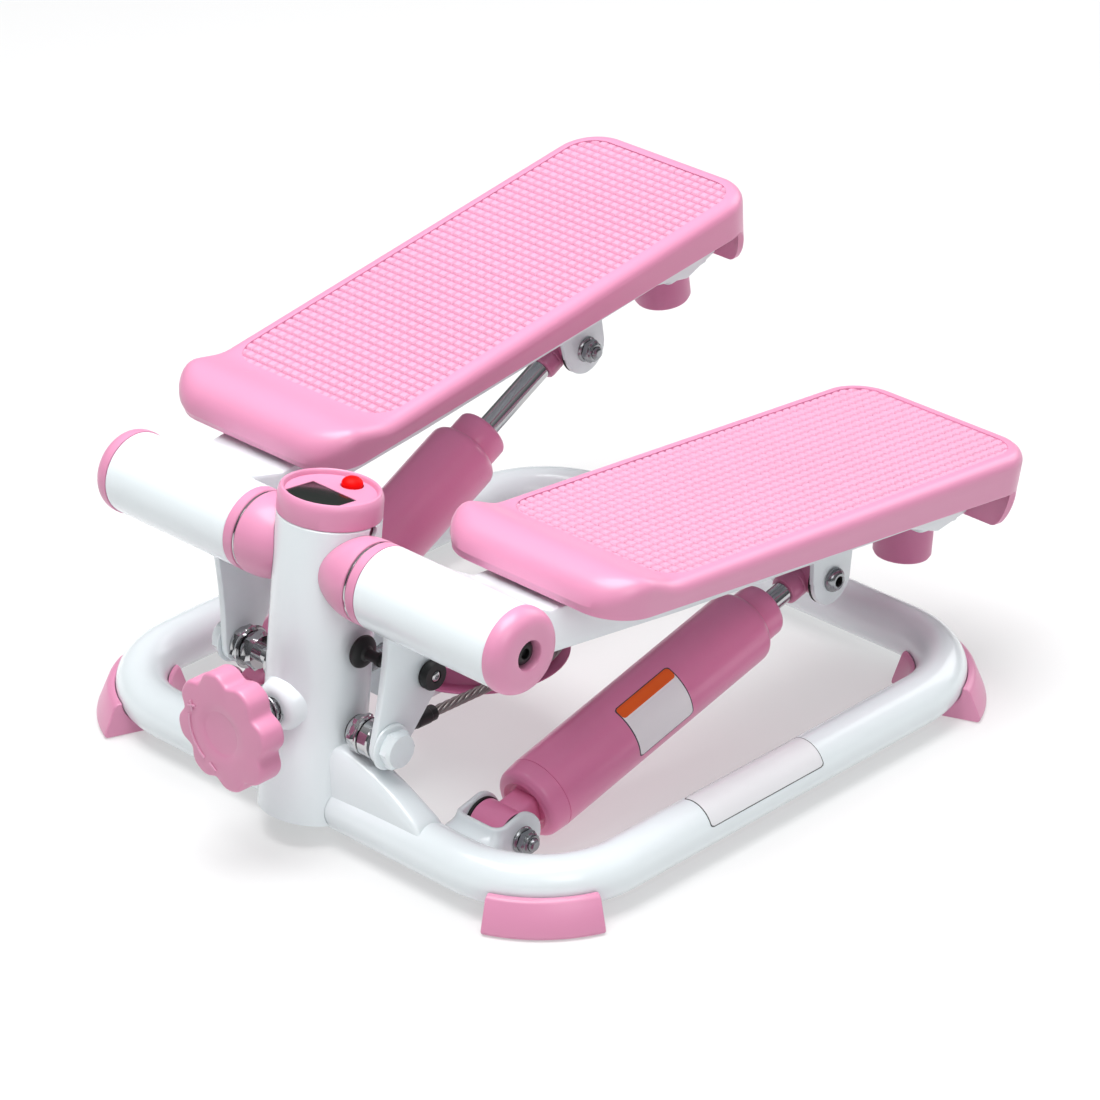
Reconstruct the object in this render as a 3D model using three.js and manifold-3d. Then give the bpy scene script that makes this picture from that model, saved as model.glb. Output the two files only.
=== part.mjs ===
// Mini stepper: a tube frame with a leaning post, two hinged pedals that a steel rope couples round
// a pulley, and one hydraulic cylinder under each pedal.
// Millimetres. +Z is up, the post and knob are at -Y, the user stands on the pedals and faces -Y.
// The origin is on the floor, under the middle of the whole outline. The pieces are drawn about the
// middle of the floor frame, and the finished group is shifted once, at the end.
import * as THREE from 'three';
import { mergeVertices } from 'three/addons/utils/BufferGeometryUtils.js';
import Module from 'manifold-3d';

const wasm = await Module();
wasm.setup();

// ---- driving dimensions ------------------------------------------------------------------
const GAP = 0.3;                      // clearance between touching pieces
const FRAME_HALF_X = 179;             // tube centre line of the floor frame
const FRAME_HALF_Y = 185;
const FRAME_CORNER = 60;              // centre-line radius of its corners
const FRAME_R = 15;
const FRAME_Z = 21;                   // height of that centre line

const POST_LEAN = THREE.MathUtils.degToRad(6.8);
const POST_Y = -186;                  // where the post's axis crosses the frame's height
const POST_RX = 30;                   // half width and half depth of the oval post
const POST_RY = 28.5;
const POST_TOP = 166.5;               // along the post from the frame's height
const CAP_TOP = 181.5;

const AXLE_Y = -175;
const AXLE_Z = 162;
const AXLE_R = 8;
const TUBE_R = 24;                    // pedal pivot tubes
const TUBE_IN = 44.8;
const TUBE_OUT = 148;
const CAP_OUT = 160;

const LEFT_TILT = THREE.MathUtils.degToRad(-5.6);   // pedal angles at rest: left down, right up
const RIGHT_TILT = THREE.MathUtils.degToRad(8.9);
const PEDAL_IN = 36;                  // pedal shell, inner and outer side
const PEDAL_OUT = 177.5;
const PEDAL_FRONT = 47;               // distances behind the axle
const PEDAL_REAR = 408;
const TREAD_V = 21.3;                 // height of the tread over the axle
const SHELL_T = 3.5;
const ARM_IN = 73;                    // channel under the pedal
const ARM_OUT = 133;
const ARM_T = 2.5;

const LEVER_X = { left: 56, right: 82 };    // inner faces of the lever plates
const LEVER_T = 5;
const LEVER_U = 1;                    // rope bolt on the lever
const LEVER_V = -91;

const CYL_X = 103;                    // plane of the cylinder
const FOOT_PIN_Y = -141;              // its lower pin
const FOOT_PIN_Z = 19;
const EAR_U = 297;                    // its upper pin, on the pedal
const EAR_V = -51.5;
const EAR_IN = 14;                    // half distance between bracket ears
const EAR_T = 3.5;
const ROD_R = 6.5;
const EYE_R = 13;                     // the eyes at both ends of a cylinder
const EYE_HALF = 12;
const ROD_END = 24;                   // rod end's length below its pin
const BOLT_R = 4;
const BOLT_HOLE = BOLT_R + 0.4;
const ROD_EYE_HOLE = BOLT_R + 1.5;

const KNOB_Z = 83;
const KNOB_R = 35;
const KNOB_LOBES = 8;
const KNOB_WAVE = 2.2;                // half the depth between two lobes
const KNOB_TURN = THREE.MathUtils.degToRad(12.5);
const KNOB_BACK = -235;
const KNOB_FRONT = -251;
const PULLEY_Y = -56;
const PULLEY_Z = 67;
const ROPE_R = 3;
const ROPE_X = 49.5;                  // rope's distance from the middle plane

// ---- finishes ----------------------------------------------------------------------------
const finish = (color, roughness, metalness) => () =>
  new THREE.MeshStandardMaterial({ color, roughness, metalness });
const white = finish(0xf2f3f4, 0.3, 0);
const pink = finish(0xf7a3c6, 0.45, 0);
const mauve = finish(0xa9557f, 0.4, 0);
const chrome = finish(0xc9c9cc, 0.15, 1);
const steel = finish(0x9a9a9e, 0.35, 1);
const black = finish(0x161618, 0.6, 0);
const red = finish(0xe01a0c, 0.25, 0);
const screen = finish(0x20261f, 0.15, 0);

// ---- solids ------------------------------------------------------------------------------
function solid(geometry) {
  const bare = geometry.clone();
  for (const name of ['normal', 'uv']) bare.deleteAttribute(name);
  const merged = mergeVertices(bare, 1e-4);
  const corners = [];
  const index = merged.index.array;
  for (let i = 0; i < index.length; i += 3) {
    const [a, b, c] = [index[i], index[i + 1], index[i + 2]];
    if (a !== b && b !== c && c !== a) corners.push(a, b, c);
  }
  return new wasm.Manifold(new wasm.Mesh({
    numProp: 3,
    vertProperties: merged.attributes.position.array,
    triVerts: Uint32Array.from(corners),
  }));
}

function surface(manifold) {
  const mesh = manifold.getMesh();
  const geometry = new THREE.BufferGeometry();
  geometry.setAttribute('position', new THREE.BufferAttribute(mesh.vertProperties, 3));
  geometry.setIndex(new THREE.BufferAttribute(mesh.triVerts, 1));
  return geometry;
}

const join = (first, ...rest) => surface(rest.reduce((all, g) => all.add(solid(g)), solid(first)));
const cut = (first, ...tools) => surface(tools.reduce((all, g) => all.subtract(solid(g)), solid(first)));
const common = (a, b) => surface(solid(a).intersect(solid(b)));

// A piece drawn for the left (+X) side, or its mirror image for the right side.
function sided(geometry, side) {
  if (side > 0) return geometry;
  const mirrored = solid(geometry).getMesh();
  const positions = Float32Array.from(mirrored.vertProperties, (v, i) => (i % 3 === 0 ? -v : v));
  const index = Uint32Array.from(mirrored.triVerts);
  for (let i = 0; i < index.length; i += 3) [index[i], index[i + 1]] = [index[i + 1], index[i]];
  const out = new THREE.BufferGeometry();
  out.setAttribute('position', new THREE.BufferAttribute(positions, 3));
  out.setIndex(new THREE.BufferAttribute(index, 1));
  return out;
}

// ---- basic shapes ------------------------------------------------------------------------
const box = (x0, x1, y0, y1, z0, z1) => new THREE.BoxGeometry(x1 - x0, y1 - y0, z1 - z0)
  .translate((x0 + x1) / 2, (y0 + y1) / 2, (z0 + z1) / 2);
const rodX = (r, x0, x1, y = 0, z = 0, sides = 16) =>
  new THREE.CylinderGeometry(r, r, x1 - x0, sides).rotateZ(-Math.PI / 2).translate((x0 + x1) / 2, y, z);
const rodY = (r, y0, y1, x = 0, z = 0, sides = 16) =>
  new THREE.CylinderGeometry(r, r, y1 - y0, sides).translate(x, (y0 + y1) / 2, z);
const rodZ = (r, z0, z1, x = 0, y = 0, sides = 16) =>
  new THREE.CylinderGeometry(r, r, z1 - z0, sides).rotateX(Math.PI / 2).translate(x, y, (z0 + z1) / 2);
const points = (list) => list.map(([a, b]) => new THREE.Vector2(a, b));
// Profiles run as (radius, height) pairs with the outer side going up.
const turnedX = (profile, sides = 20) =>
  new THREE.LatheGeometry(points(profile), sides).rotateZ(-Math.PI / 2);
const turnedY = (profile, sides = 20) => new THREE.LatheGeometry(points(profile), sides);
const turnedZ = (profile, sides = 20) => new THREE.LatheGeometry(points(profile), sides).rotateX(Math.PI / 2);
const ring = (inner, outer, from, to) =>
  [[inner, from], [outer, from], [outer, to], [inner, to], [inner, from]];

const basis = (x, y, z) => new THREE.Matrix4().makeBasis(x, y, z);
const [X, Y, Z] = [new THREE.Vector3(1, 0, 0), new THREE.Vector3(0, 1, 0), new THREE.Vector3(0, 0, 1)];
const SIDEWAYS = basis(Y, Z, X);      // a (y, z) outline drawn out along +X
const FORWARDS = basis(X, Z, Y.clone().negate());    // an (x, z) outline drawn out along -Y

function extruded(shape, depth, curveSegments = 8) {
  return new THREE.ExtrudeGeometry(shape, { depth, bevelEnabled: false, curveSegments });
}
const plateX = (shape, x0, x1, curve) =>
  extruded(shape, x1 - x0, curve).applyMatrix4(SIDEWAYS).translate(x0, 0, 0);
const plateY = (shape, y0, y1, curve) =>
  extruded(shape, y1 - y0, curve).applyMatrix4(FORWARDS).translate(0, y1, 0);
const outline = (list) => new THREE.Shape(points(list));

function roundedRect(x0, x1, y0, y1, r) {
  const shape = new THREE.Shape();
  shape.absarc(x1 - r, y0 + r, r, -Math.PI / 2, 0);
  shape.absarc(x1 - r, y1 - r, r, 0, Math.PI / 2);
  shape.absarc(x0 + r, y1 - r, r, Math.PI / 2, Math.PI);
  shape.absarc(x0 + r, y0 + r, r, Math.PI, Math.PI * 1.5);
  return shape;
}

function ellipse(rx, ry) {
  const shape = new THREE.Shape();
  shape.absellipse(0, 0, rx, ry, 0, Math.PI * 2);
  return shape;
}

// A route given by stations (point, direction): a section is set square to it at each of them.
class Route extends THREE.Curve {
  constructor(stations) {
    super();
    this.stations = stations;
  }

  getPointAt(u) {
    return this.stations[Math.round(u * (this.stations.length - 1))][0].clone();
  }

  getTangentAt(u) {
    return this.stations[Math.round(u * (this.stations.length - 1))][1].clone();
  }
}

function tubeAlong(stations, r, sides) {
  const section = new THREE.Shape();
  section.absarc(0, 0, r, 0, Math.PI * 2);
  return new THREE.ExtrudeGeometry(section, {
    steps: stations.length - 1,
    curveSegments: sides / 2,
    extrudePath: new Route(stations),
  });
}

function arcStations(cx, cy, z, r, from, to, steps) {
  return Array.from({ length: steps + 1 }, (_, i) => {
    const a = from + ((to - from) * i) / steps;
    const turn = Math.sign(to - from);
    return [
      new THREE.Vector3(cx + r * Math.cos(a), cy + r * Math.sin(a), z),
      new THREE.Vector3(-Math.sin(a) * turn, Math.cos(a) * turn, 0),
    ];
  });
}

// ---- scene graph -------------------------------------------------------------------------
const stepper = new THREE.Group();
function add(parent, name, geometry, material) {
  const mesh = new THREE.Mesh(geometry, material());
  mesh.name = name;
  parent.add(mesh);
  return mesh;
}
const SIDES = [['left', 1, LEFT_TILT], ['right', -1, RIGHT_TILT]];

// ---- floor frame -------------------------------------------------------------------------
const CORNER_STEPS = 7;
function halfLoop(side) {
  const cx = FRAME_HALF_X - FRAME_CORNER;
  const cy = FRAME_HALF_Y - FRAME_CORNER;
  const stations = [
    [new THREE.Vector3(0, -FRAME_HALF_Y, FRAME_Z), X.clone()],
    ...arcStations(cx, -cy, FRAME_Z, FRAME_CORNER, -Math.PI / 2, 0, CORNER_STEPS),
    ...arcStations(cx, cy, FRAME_Z, FRAME_CORNER, 0, Math.PI / 2, CORNER_STEPS),
    [new THREE.Vector3(0, FRAME_HALF_Y, FRAME_Z), X.clone().negate()],
  ];
  return sided(tubeAlong(stations, FRAME_R, 18), side);
}
add(stepper, 'base_tube', join(halfLoop(1), halfLoop(-1)), white);

const FOOT_SEAT_R = FRAME_R + 0.6;
// A foot is a cradle turned about the corner's centre, cut to a short length of the corner.
function foot(sx, sy) {
  const r = FRAME_CORNER;
  const seat = Array.from({ length: 9 }, (_, i) => {
    const a = -Math.PI * (i / 8);
    return [r + FOOT_SEAT_R * Math.cos(a), FRAME_Z + FOOT_SEAT_R * Math.sin(a)];
  });
  const profile = [
    [r - 25, 0], [r + 27, 0], [r + 26, 4], [r + 19.5, FRAME_Z - 1],
    ...seat, [r - 18, FRAME_Z - 1], [r - 24, 4], [r - 25, 0],
  ];
  const half = THREE.MathUtils.degToRad(23);
  const middle = Math.atan2(sy, sx);
  const reach = 3 * r;
  const wedge = extruded(outline([
    [0, 0],
    [reach * Math.cos(middle - half), reach * Math.sin(middle - half)],
    [reach * Math.cos(middle + half), reach * Math.sin(middle + half)],
  ]), 60).translate(0, 0, -10);
  return common(turnedZ(profile, 4 * CORNER_STEPS), wedge)
    .translate(sx * (FRAME_HALF_X - r), sy * (FRAME_HALF_Y - r), 0);
}
for (const [side, sx] of SIDES) {
  add(stepper, `foot_front_${side}`, foot(sx, -1), pink);
  add(stepper, `foot_rear_${side}`, foot(sx, 1), pink);
}

// ---- post and its cap --------------------------------------------------------------------
const LEAN = new THREE.Matrix4().makeRotationX(-POST_LEAN).setPosition(0, POST_Y, FRAME_Z);
const framePassage = rodX(FRAME_R + GAP, -60, 60, -FRAME_HALF_Y, FRAME_Z, 28);
const POST_WALL = 2.5;
const BUTTON_Y = 16;                  // on the cap, behind the display

function post() {
  const foot0 = -9;
  const length = POST_TOP - foot0;
  const skin = extruded(ellipse(POST_RX, POST_RY), length, 12).translate(0, 0, foot0);
  const core = extruded(ellipse(POST_RX - POST_WALL, POST_RY - POST_WALL), length + 2, 12)
    .translate(0, 0, foot0 - 1);
  return cut(
    cut(skin, core).applyMatrix4(LEAN),
    framePassage,
    rodX(AXLE_R + GAP, -60, 60, AXLE_Y, AXLE_Z),
    rodY(6.5, POST_Y - 60, POST_Y + 60, 0, KNOB_Z),
    rodX(3.2, 10, 60, AXLE_Y + 13, AXLE_Z + 21, 12),
  );
}
add(stepper, 'front_post', post(), white);

// A tapered web braces each side of the post to the frame.
const GUSSET_END = 93;                // how far it runs along the frame tube
const GUSSET_HALF = 11;
const postHull = () => extruded(ellipse(POST_RX + GAP, POST_RY + GAP), 240, 12).translate(0, 0, -30)
  .applyMatrix4(LEAN);
function gusset() {
  const web = plateY(
    outline([
      [27, FRAME_Z + 3], [GUSSET_END, FRAME_Z], [GUSSET_END, FRAME_Z + FRAME_R + 2],
      [58, 50], [34, 59], [27, 62],
    ]),
    -FRAME_HALF_Y - GUSSET_HALF,
    -FRAME_HALF_Y + GUSSET_HALF,
  );
  return cut(web, postHull(),
    rodX(FRAME_R + GAP, 0, FRAME_HALF_X - FRAME_CORNER, -FRAME_HALF_Y, FRAME_Z, 28));
}
for (const [side, s] of SIDES) add(stepper, `gusset_${side}`, sided(gusset(), s), white);

const postGroup = new THREE.Group();
postGroup.applyMatrix4(LEAN);
stepper.add(postGroup);

function monitorHousing() {
  const height = CAP_TOP - POST_TOP - GAP;
  const profile = [
    [0, -8], [0.86, -8], [0.86, 0], [1, 0], [1, height - 4], [0.985, height - 1.5], [0.94, height],
    [0.9, height - 0.6], [0.86, height - 3], [0, height - 3],
  ];
  const cap = turnedZ(profile, 24).scale(POST_RX, POST_RY, 1);
  const floor = height - 3;
  const display = extruded(displayShape(0), 20).translate(0, 0, floor - 1.6);
  return cut(cap, display, rodZ(6.4, floor - 5, floor + 5, 0, BUTTON_Y))
    .translate(0, 0, POST_TOP + GAP);
}

// The display window: straight at the back and sides, its front edge follows the cap's rim.
function displayShape(inset) {
  const rx = POST_RX * 0.84 - inset;
  const ry = POST_RY * 0.84 - inset;
  const half = 17 - inset;
  const corner = Math.acos(half / rx);
  const shape = new THREE.Shape();
  shape.moveTo(half, 3 - inset);
  shape.lineTo(-half, 3 - inset);
  shape.absellipse(0, 0, rx, ry, Math.PI + corner, 2 * Math.PI - corner);
  return shape;
}
add(postGroup, 'monitor_housing', monitorHousing(), pink);
const PANEL = CAP_TOP - 3;            // floor of the cap's recess, along the post
add(postGroup, 'display_window',
  extruded(displayShape(GAP), 1.1).translate(0, 0, PANEL - 1.6 + GAP), screen);
add(postGroup, 'reset_button', turnedZ(
  [[0, -2.5], [6, -2.5], [6, 1.6], [5.2, 3.4], [3.2, 4.7], [0, 5.2]], 20)
  .translate(0, BUTTON_Y, PANEL), red);

// ---- pivot axle and bushings -------------------------------------------------------------
add(stepper, 'pivot_axle', rodX(AXLE_R, -150, 150, AXLE_Y, AXLE_Z), steel);

function coneBush() {
  const cone = turnedX([
    [AXLE_R + GAP, 16], [18, 16], [21, 26], [23.4, 36], [TUBE_R, 41], [TUBE_R, 42.6],
    [AXLE_R + GAP, 42.6], [AXLE_R + GAP, 16],
  ]).translate(0, AXLE_Y, AXLE_Z);
  return cut(cone, postHull());
}
for (const [side, s] of SIDES) {
  add(stepper, `cone_bush_${side}`, sided(coneBush(), s), pink);
  add(stepper, `thrust_ring_${side}`,
    sided(turnedX(ring(AXLE_R + GAP, TUBE_R - 0.6, 42.9, 44.5)).translate(0, AXLE_Y, AXLE_Z), s), chrome);
}

// ---- height knob, pulley carriage --------------------------------------------------------
const BOSS_Y = -212;                  // front face of the welded boss
const SCREW_R = 6;
const SCREW_END = -119.5;

function knobBoss() {
  return cut(rodY(17, BOSS_Y, POST_Y - 5, 0, KNOB_Z, 28), postHull(),
    rodY(SCREW_R + 0.5, BOSS_Y - 5, POST_Y, 0, KNOB_Z));
}
add(stepper, 'knob_boss', knobBoss(), white);

function knob() {
  const shape = new THREE.Shape();
  const count = 6 * KNOB_LOBES;
  for (let i = 0; i < count; i += 1) {
    const a = KNOB_TURN + (2 * Math.PI * i) / count;
    const r = KNOB_R - KNOB_WAVE + KNOB_WAVE * Math.cos(KNOB_LOBES * (a - KNOB_TURN));
    shape[i ? 'lineTo' : 'moveTo'](r * Math.cos(a), r * Math.sin(a));
  }
  const depth = KNOB_BACK - KNOB_FRONT;
  const body = new THREE.ExtrudeGeometry(shape, {
    depth: depth - 5, bevelThickness: 2.5, bevelSize: 2.5, bevelOffset: -2.5, bevelSegments: 1,
  }).applyMatrix4(FORWARDS).translate(0, KNOB_BACK - 2.5, KNOB_Z);
  return cut(body,
    rodY(12, KNOB_FRONT - 1, KNOB_FRONT + 1.5, 0, KNOB_Z, 24),
    rodY(SCREW_R + GAP, KNOB_BACK - 10, KNOB_BACK + 1, 0, KNOB_Z));
}
add(stepper, 'height_knob', knob(), pink);
add(stepper, 'knob_screw', rodY(SCREW_R, KNOB_BACK - 9.6, SCREW_END, 0, KNOB_Z), steel);

function knobSpring() {
  const turns = 2.5;
  const steps = 25;
  const radius = 8.6;
  const run = BOSS_Y - KNOB_BACK - 3.4;
  const stations = Array.from({ length: steps + 1 }, (_, i) => {
    const a = (2 * Math.PI * turns * i) / steps;
    const rise = run / (2 * Math.PI * turns);
    return [
      new THREE.Vector3(radius * Math.cos(a), KNOB_BACK + 1.7 + rise * a, KNOB_Z + radius * Math.sin(a)),
      new THREE.Vector3(-radius * Math.sin(a), rise, radius * Math.cos(a)).normalize(),
    ];
  });
  return tubeAlong(stations, 1.1, 6);
}
add(stepper, 'knob_spring', knobSpring(), chrome);

const YOKE_FRONT = -126;
const YOKE_T = 7;
const PULLEY_R = 55;
function pulleyYoke() {
  const arm = outline([
    [YOKE_FRONT, PULLEY_Z - 14], [PULLEY_Y + 12, PULLEY_Z - 14], [PULLEY_Y + 12, PULLEY_Z - 11],
    [YOKE_FRONT + YOKE_T, PULLEY_Z - 11], [YOKE_FRONT + YOKE_T, PULLEY_Z + 11],
    [PULLEY_Y + 12, PULLEY_Z + 11], [PULLEY_Y + 12, PULLEY_Z + 13.5],
    [YOKE_FRONT + YOKE_T, PULLEY_Z + 13.5], [YOKE_FRONT + YOKE_T, KNOB_Z + 14],
    [YOKE_FRONT, KNOB_Z + 14],
  ]);
  return cut(plateX(arm, -16, 16),
    rodZ(5 + GAP, PULLEY_Z - 30, PULLEY_Z + 30, 0, PULLEY_Y),
    rodY(SCREW_R + 0.5, YOKE_FRONT - 5, YOKE_FRONT + 22, 0, KNOB_Z));
}
add(stepper, 'pulley_yoke', pulleyYoke(), white);
add(stepper, 'pulley_axle', turnedZ([
  [0, -19], [8, -19], [8, -14.3], [5, -14.3], [5, 13.8], [8, 13.8], [8, 15.6], [0, 15.6],
], 16).translate(0, PULLEY_Y, PULLEY_Z), steel);
const GROOVE_R = ROPE_X - ROPE_R - 0.4;
add(stepper, 'rope_pulley', turnedZ([
  [5 + GAP, -9.5], [20, -9.5], [20, -8], [PULLEY_R, -8], [PULLEY_R, -5.4], [GROOVE_R, -5.2],
  [GROOVE_R, 5.2], [PULLEY_R, 5.4], [PULLEY_R, 8], [20, 8], [20, 9.5], [5 + GAP, 9.5], [5 + GAP, -9.5],
], 28).translate(0, PULLEY_Y, PULLEY_Z), mauve);
add(stepper, 'rope_wrap',
  tubeAlong(arcStations(0, PULLEY_Y, PULLEY_Z, ROPE_X, 0, Math.PI, 14), ROPE_R, 8), steel);

// ---- cylinder feet on the frame ----------------------------------------------------------
function footBracket() {
  const front = -FRAME_HALF_Y + GUSSET_HALF + GAP;
  const top = FOOT_PIN_Z + 18;
  const cheek = new THREE.Shape();
  cheek.moveTo(front, top);
  cheek.lineTo(front, FRAME_Z - 10);
  cheek.absarc(FOOT_PIN_Y, FOOT_PIN_Z + 1, 14.5, -Math.PI / 2, Math.PI / 2);
  const cheeks = [-EAR_IN - EAR_T, EAR_IN].map((x) => plateX(cheek, CYL_X + x, CYL_X + x + EAR_T));
  const bridge = box(CYL_X - EAR_IN - 1, CYL_X + EAR_IN + 1, front, front + 16, FRAME_Z - 8, top);
  return cut(join(bridge, ...cheeks),
    rodX(FRAME_R + 0.6, CYL_X - 30, CYL_X + 30, -FRAME_HALF_Y, FRAME_Z, 28),
    rodX(BOLT_HOLE, CYL_X - 40, CYL_X + 40, FOOT_PIN_Y, FOOT_PIN_Z, 16));
}

// A bolt along +X through a pair of ears about x = 0, its head on the side that `head` points to.
function earBolt(head) {
  const face = EAR_IN + EAR_T + GAP;
  const shaft = rodX(BOLT_R, -face - 12.5, face + 1, 0, 0, 12);
  const dome = turnedX([
    [0, face], [7.5, face], [7.5, face + 1.5], [6, face + 4], [3.5, face + 5], [0, face + 5],
  ], 16);
  const socket = rodX(2.7, face + 2.4, face + 8, 0, 0, 6);
  const nut = rodX(7.4, -face - 7.5, -face - 1.2, 0, 0, 6);
  const washer = rodX(8.2, -face - 1.3, -face, 0, 0, 16);
  const bolt = cut(join(shaft, dome, nut, washer), socket);
  return head > 0 ? bolt : sided(bolt, -1);
}

// ---- cylinder ----------------------------------------------------------------------------
// Along +Y from the lower pin: an eye, the body, a collar that the rod slides through.
const BODY_R = 22.5;
const COLLAR_TOP = 223;
function cylinderBody() {
  const body = turnedY([
    [0, 21], [17, 21], [21, 24], [BODY_R, 29], [BODY_R, 200], [20.5, 205], [16.4, 207.5],
    [16.4, COLLAR_TOP - 4], [13, COLLAR_TOP], [ROD_R + GAP, COLLAR_TOP], [ROD_R + GAP, 58], [0, 58],
  ]);
  const neck = box(-9, 9, 6, 23, -9, 9);
  const eye = rodX(EYE_R, -EYE_HALF, EYE_HALF, 0, 0, 24);
  return cut(join(body, neck, eye), rodX(BOLT_HOLE, -EYE_HALF - 8, EYE_HALF + 8, 0, 0, 16));
}
function rodEnd() {
  const neck = turnedY([[0, -ROD_END], [8, -ROD_END], [9, -ROD_END + 2], [9, -8], [0, -8]], 20);
  return cut(join(rodX(EYE_R, -EYE_HALF, EYE_HALF, 0, 0, 24), neck),
    rodX(ROD_EYE_HOLE, -EYE_HALF - 8, EYE_HALF + 8, 0, 0, 20));
}

// ---- pedal pieces, drawn about the axle: Y runs to the rear, Z up ----------------------------
const SKIRT_V = -3.5;                 // lower edge of the pedal's sides at the rear
const SKIRT_RISE = 11;                // how much higher it is at the toe
const REAR_LIP = 33;                  // how much lower the rear wall hangs
const sideOutline = (front, rear, top, low, lip) => {
  const shape = new THREE.Shape();
  shape.moveTo(front, low + SKIRT_RISE + 2);
  shape.bezierCurveTo(front, top + 2, front + 8, top + 8.5, front + 22, top + 8.5);
  shape.bezierCurveTo(front + 34, top + 8.5, front + 36, top + 1.5, front + 50, top);
  shape.lineTo(rear, top);
  shape.lineTo(rear, low - lip);
  shape.lineTo(rear - 3, low - lip);
  shape.bezierCurveTo(rear - 6, low - lip + 10, rear - 8, low, rear - 24, low);
  shape.lineTo(front + 6, low + SKIRT_RISE);
  return shape;
};

const PEDAL_CORNER = 28;
const TREAD_DEPTH = 1.2;
function pedalShell() {
  const skin = common(
    plateX(sideOutline(PEDAL_FRONT, PEDAL_REAR, TREAD_V, SKIRT_V, REAR_LIP), PEDAL_IN - 2, PEDAL_OUT + 2, 6),
    extruded(roundedRect(PEDAL_IN, PEDAL_OUT, PEDAL_FRONT, PEDAL_REAR, PEDAL_CORNER), 100, 5)
      .translate(0, 0, -50));
  const inside = new THREE.Shape();
  inside.moveTo(PEDAL_FRONT + SHELL_T, -60);
  inside.lineTo(PEDAL_REAR - SHELL_T, -60);
  inside.lineTo(PEDAL_REAR - SHELL_T, TREAD_V - SHELL_T);
  inside.lineTo(PEDAL_FRONT + 10, TREAD_V - SHELL_T);
  inside.lineTo(PEDAL_FRONT + SHELL_T, TREAD_V - 8);
  const hollow = common(
    plateX(inside, PEDAL_IN, PEDAL_OUT),
    extruded(roundedRect(PEDAL_IN + SHELL_T, PEDAL_OUT - SHELL_T, PEDAL_FRONT + SHELL_T,
      PEDAL_REAR - SHELL_T, PEDAL_CORNER - 3), 140, 5).translate(0, 0, -70));
  const panel = roundedRect(PEDAL_IN + 7, PEDAL_OUT - 7, PEDAL_FRONT + 46, PEDAL_REAR - 8, PEDAL_CORNER - 6);
  const tread = extruded(panel, 9, 5).translate(0, 0, TREAD_V - TREAD_DEPTH);
  return cut(skin, hollow, tread);
}

const ARM_TOP = TREAD_V - SHELL_T - 0.6;
const BUMPER_U = 382;
function pedalArm() {
  const side = outline([
    [8, 21], [26, 12], [44, 4], [62, 4], [76, ARM_TOP], [398, ARM_TOP], [402, -33], [376, -39],
    [350, -31], [150, -27], [60, -23], [16, -21],
  ]);
  const inner = outline([
    [-40, 14], [24, 6], [40, 1], [64, 1], [78, ARM_TOP - ARM_T], [395.5, ARM_TOP - ARM_T], [395.5, -60],
    [-40, -60],
  ]);
  const channel = cut(plateX(side, ARM_IN, ARM_OUT), plateX(inner, ARM_IN + ARM_T, ARM_OUT - ARM_T));
  const bumperSeat = box(ARM_IN + 1, ARM_OUT - 1, 360, 397, -36, -33);
  const ear = new THREE.Shape();
  ear.moveTo(EAR_U - 24, ARM_TOP - 1);
  ear.lineTo(EAR_U - 17, EAR_V);
  ear.absarc(EAR_U, EAR_V, 16, Math.PI, 2 * Math.PI);
  ear.lineTo(EAR_U + 16, ARM_TOP - 1);
  const ears = [-EAR_IN - EAR_T, EAR_IN].map((x) => plateX(ear, CYL_X + x, CYL_X + x + EAR_T));
  return cut(join(channel, bumperSeat, ...ears),
    rodX(TUBE_R + 0.4, 0, 170, 0, 0, 28),
    rodX(BOLT_HOLE, CYL_X - 40, CYL_X + 40, EAR_U, EAR_V, 16));
}

const [STOP_U, STOP_V] = [28, -55];
const [MAGNET_U, MAGNET_V] = [2, -44];
const LEVER_BOLT_R = 5;
const LEVER_HEX_R = 12;               // over the corners of its head and nuts
const ROPE_EYE_LEN = 45;
const ROPE_EYE_HALF = 3.8;
const SLEEVE_R = 4.8;                 // the sleeve crimped on the rope's end
function leverPlate(x) {
  const shape = new THREE.Shape();
  shape.moveTo(-2, -20);
  shape.quadraticCurveTo(-3, -52, LEVER_U - 11, LEVER_V + 4);
  shape.absarc(LEVER_U + 1, LEVER_V, 12.5, Math.PI * 0.9, Math.PI * 1.82);
  shape.lineTo(39, -62);
  shape.quadraticCurveTo(41, -44, 28, -30);
  shape.lineTo(17, -18);
  const hole = (r, u, v, sides) => rodX(r, x - 5, x + LEVER_T + 5, u, v, sides);
  return cut(plateX(shape, x, x + LEVER_T, 6),
    hole(TUBE_R + 0.4, 0, 0, 28),
    hole(LEVER_BOLT_R + 0.4, LEVER_U, LEVER_V, 16),
    hole(2.8, STOP_U, STOP_V, 12),
    hole(2.8, MAGNET_U, MAGNET_V, 12));
}

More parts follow.
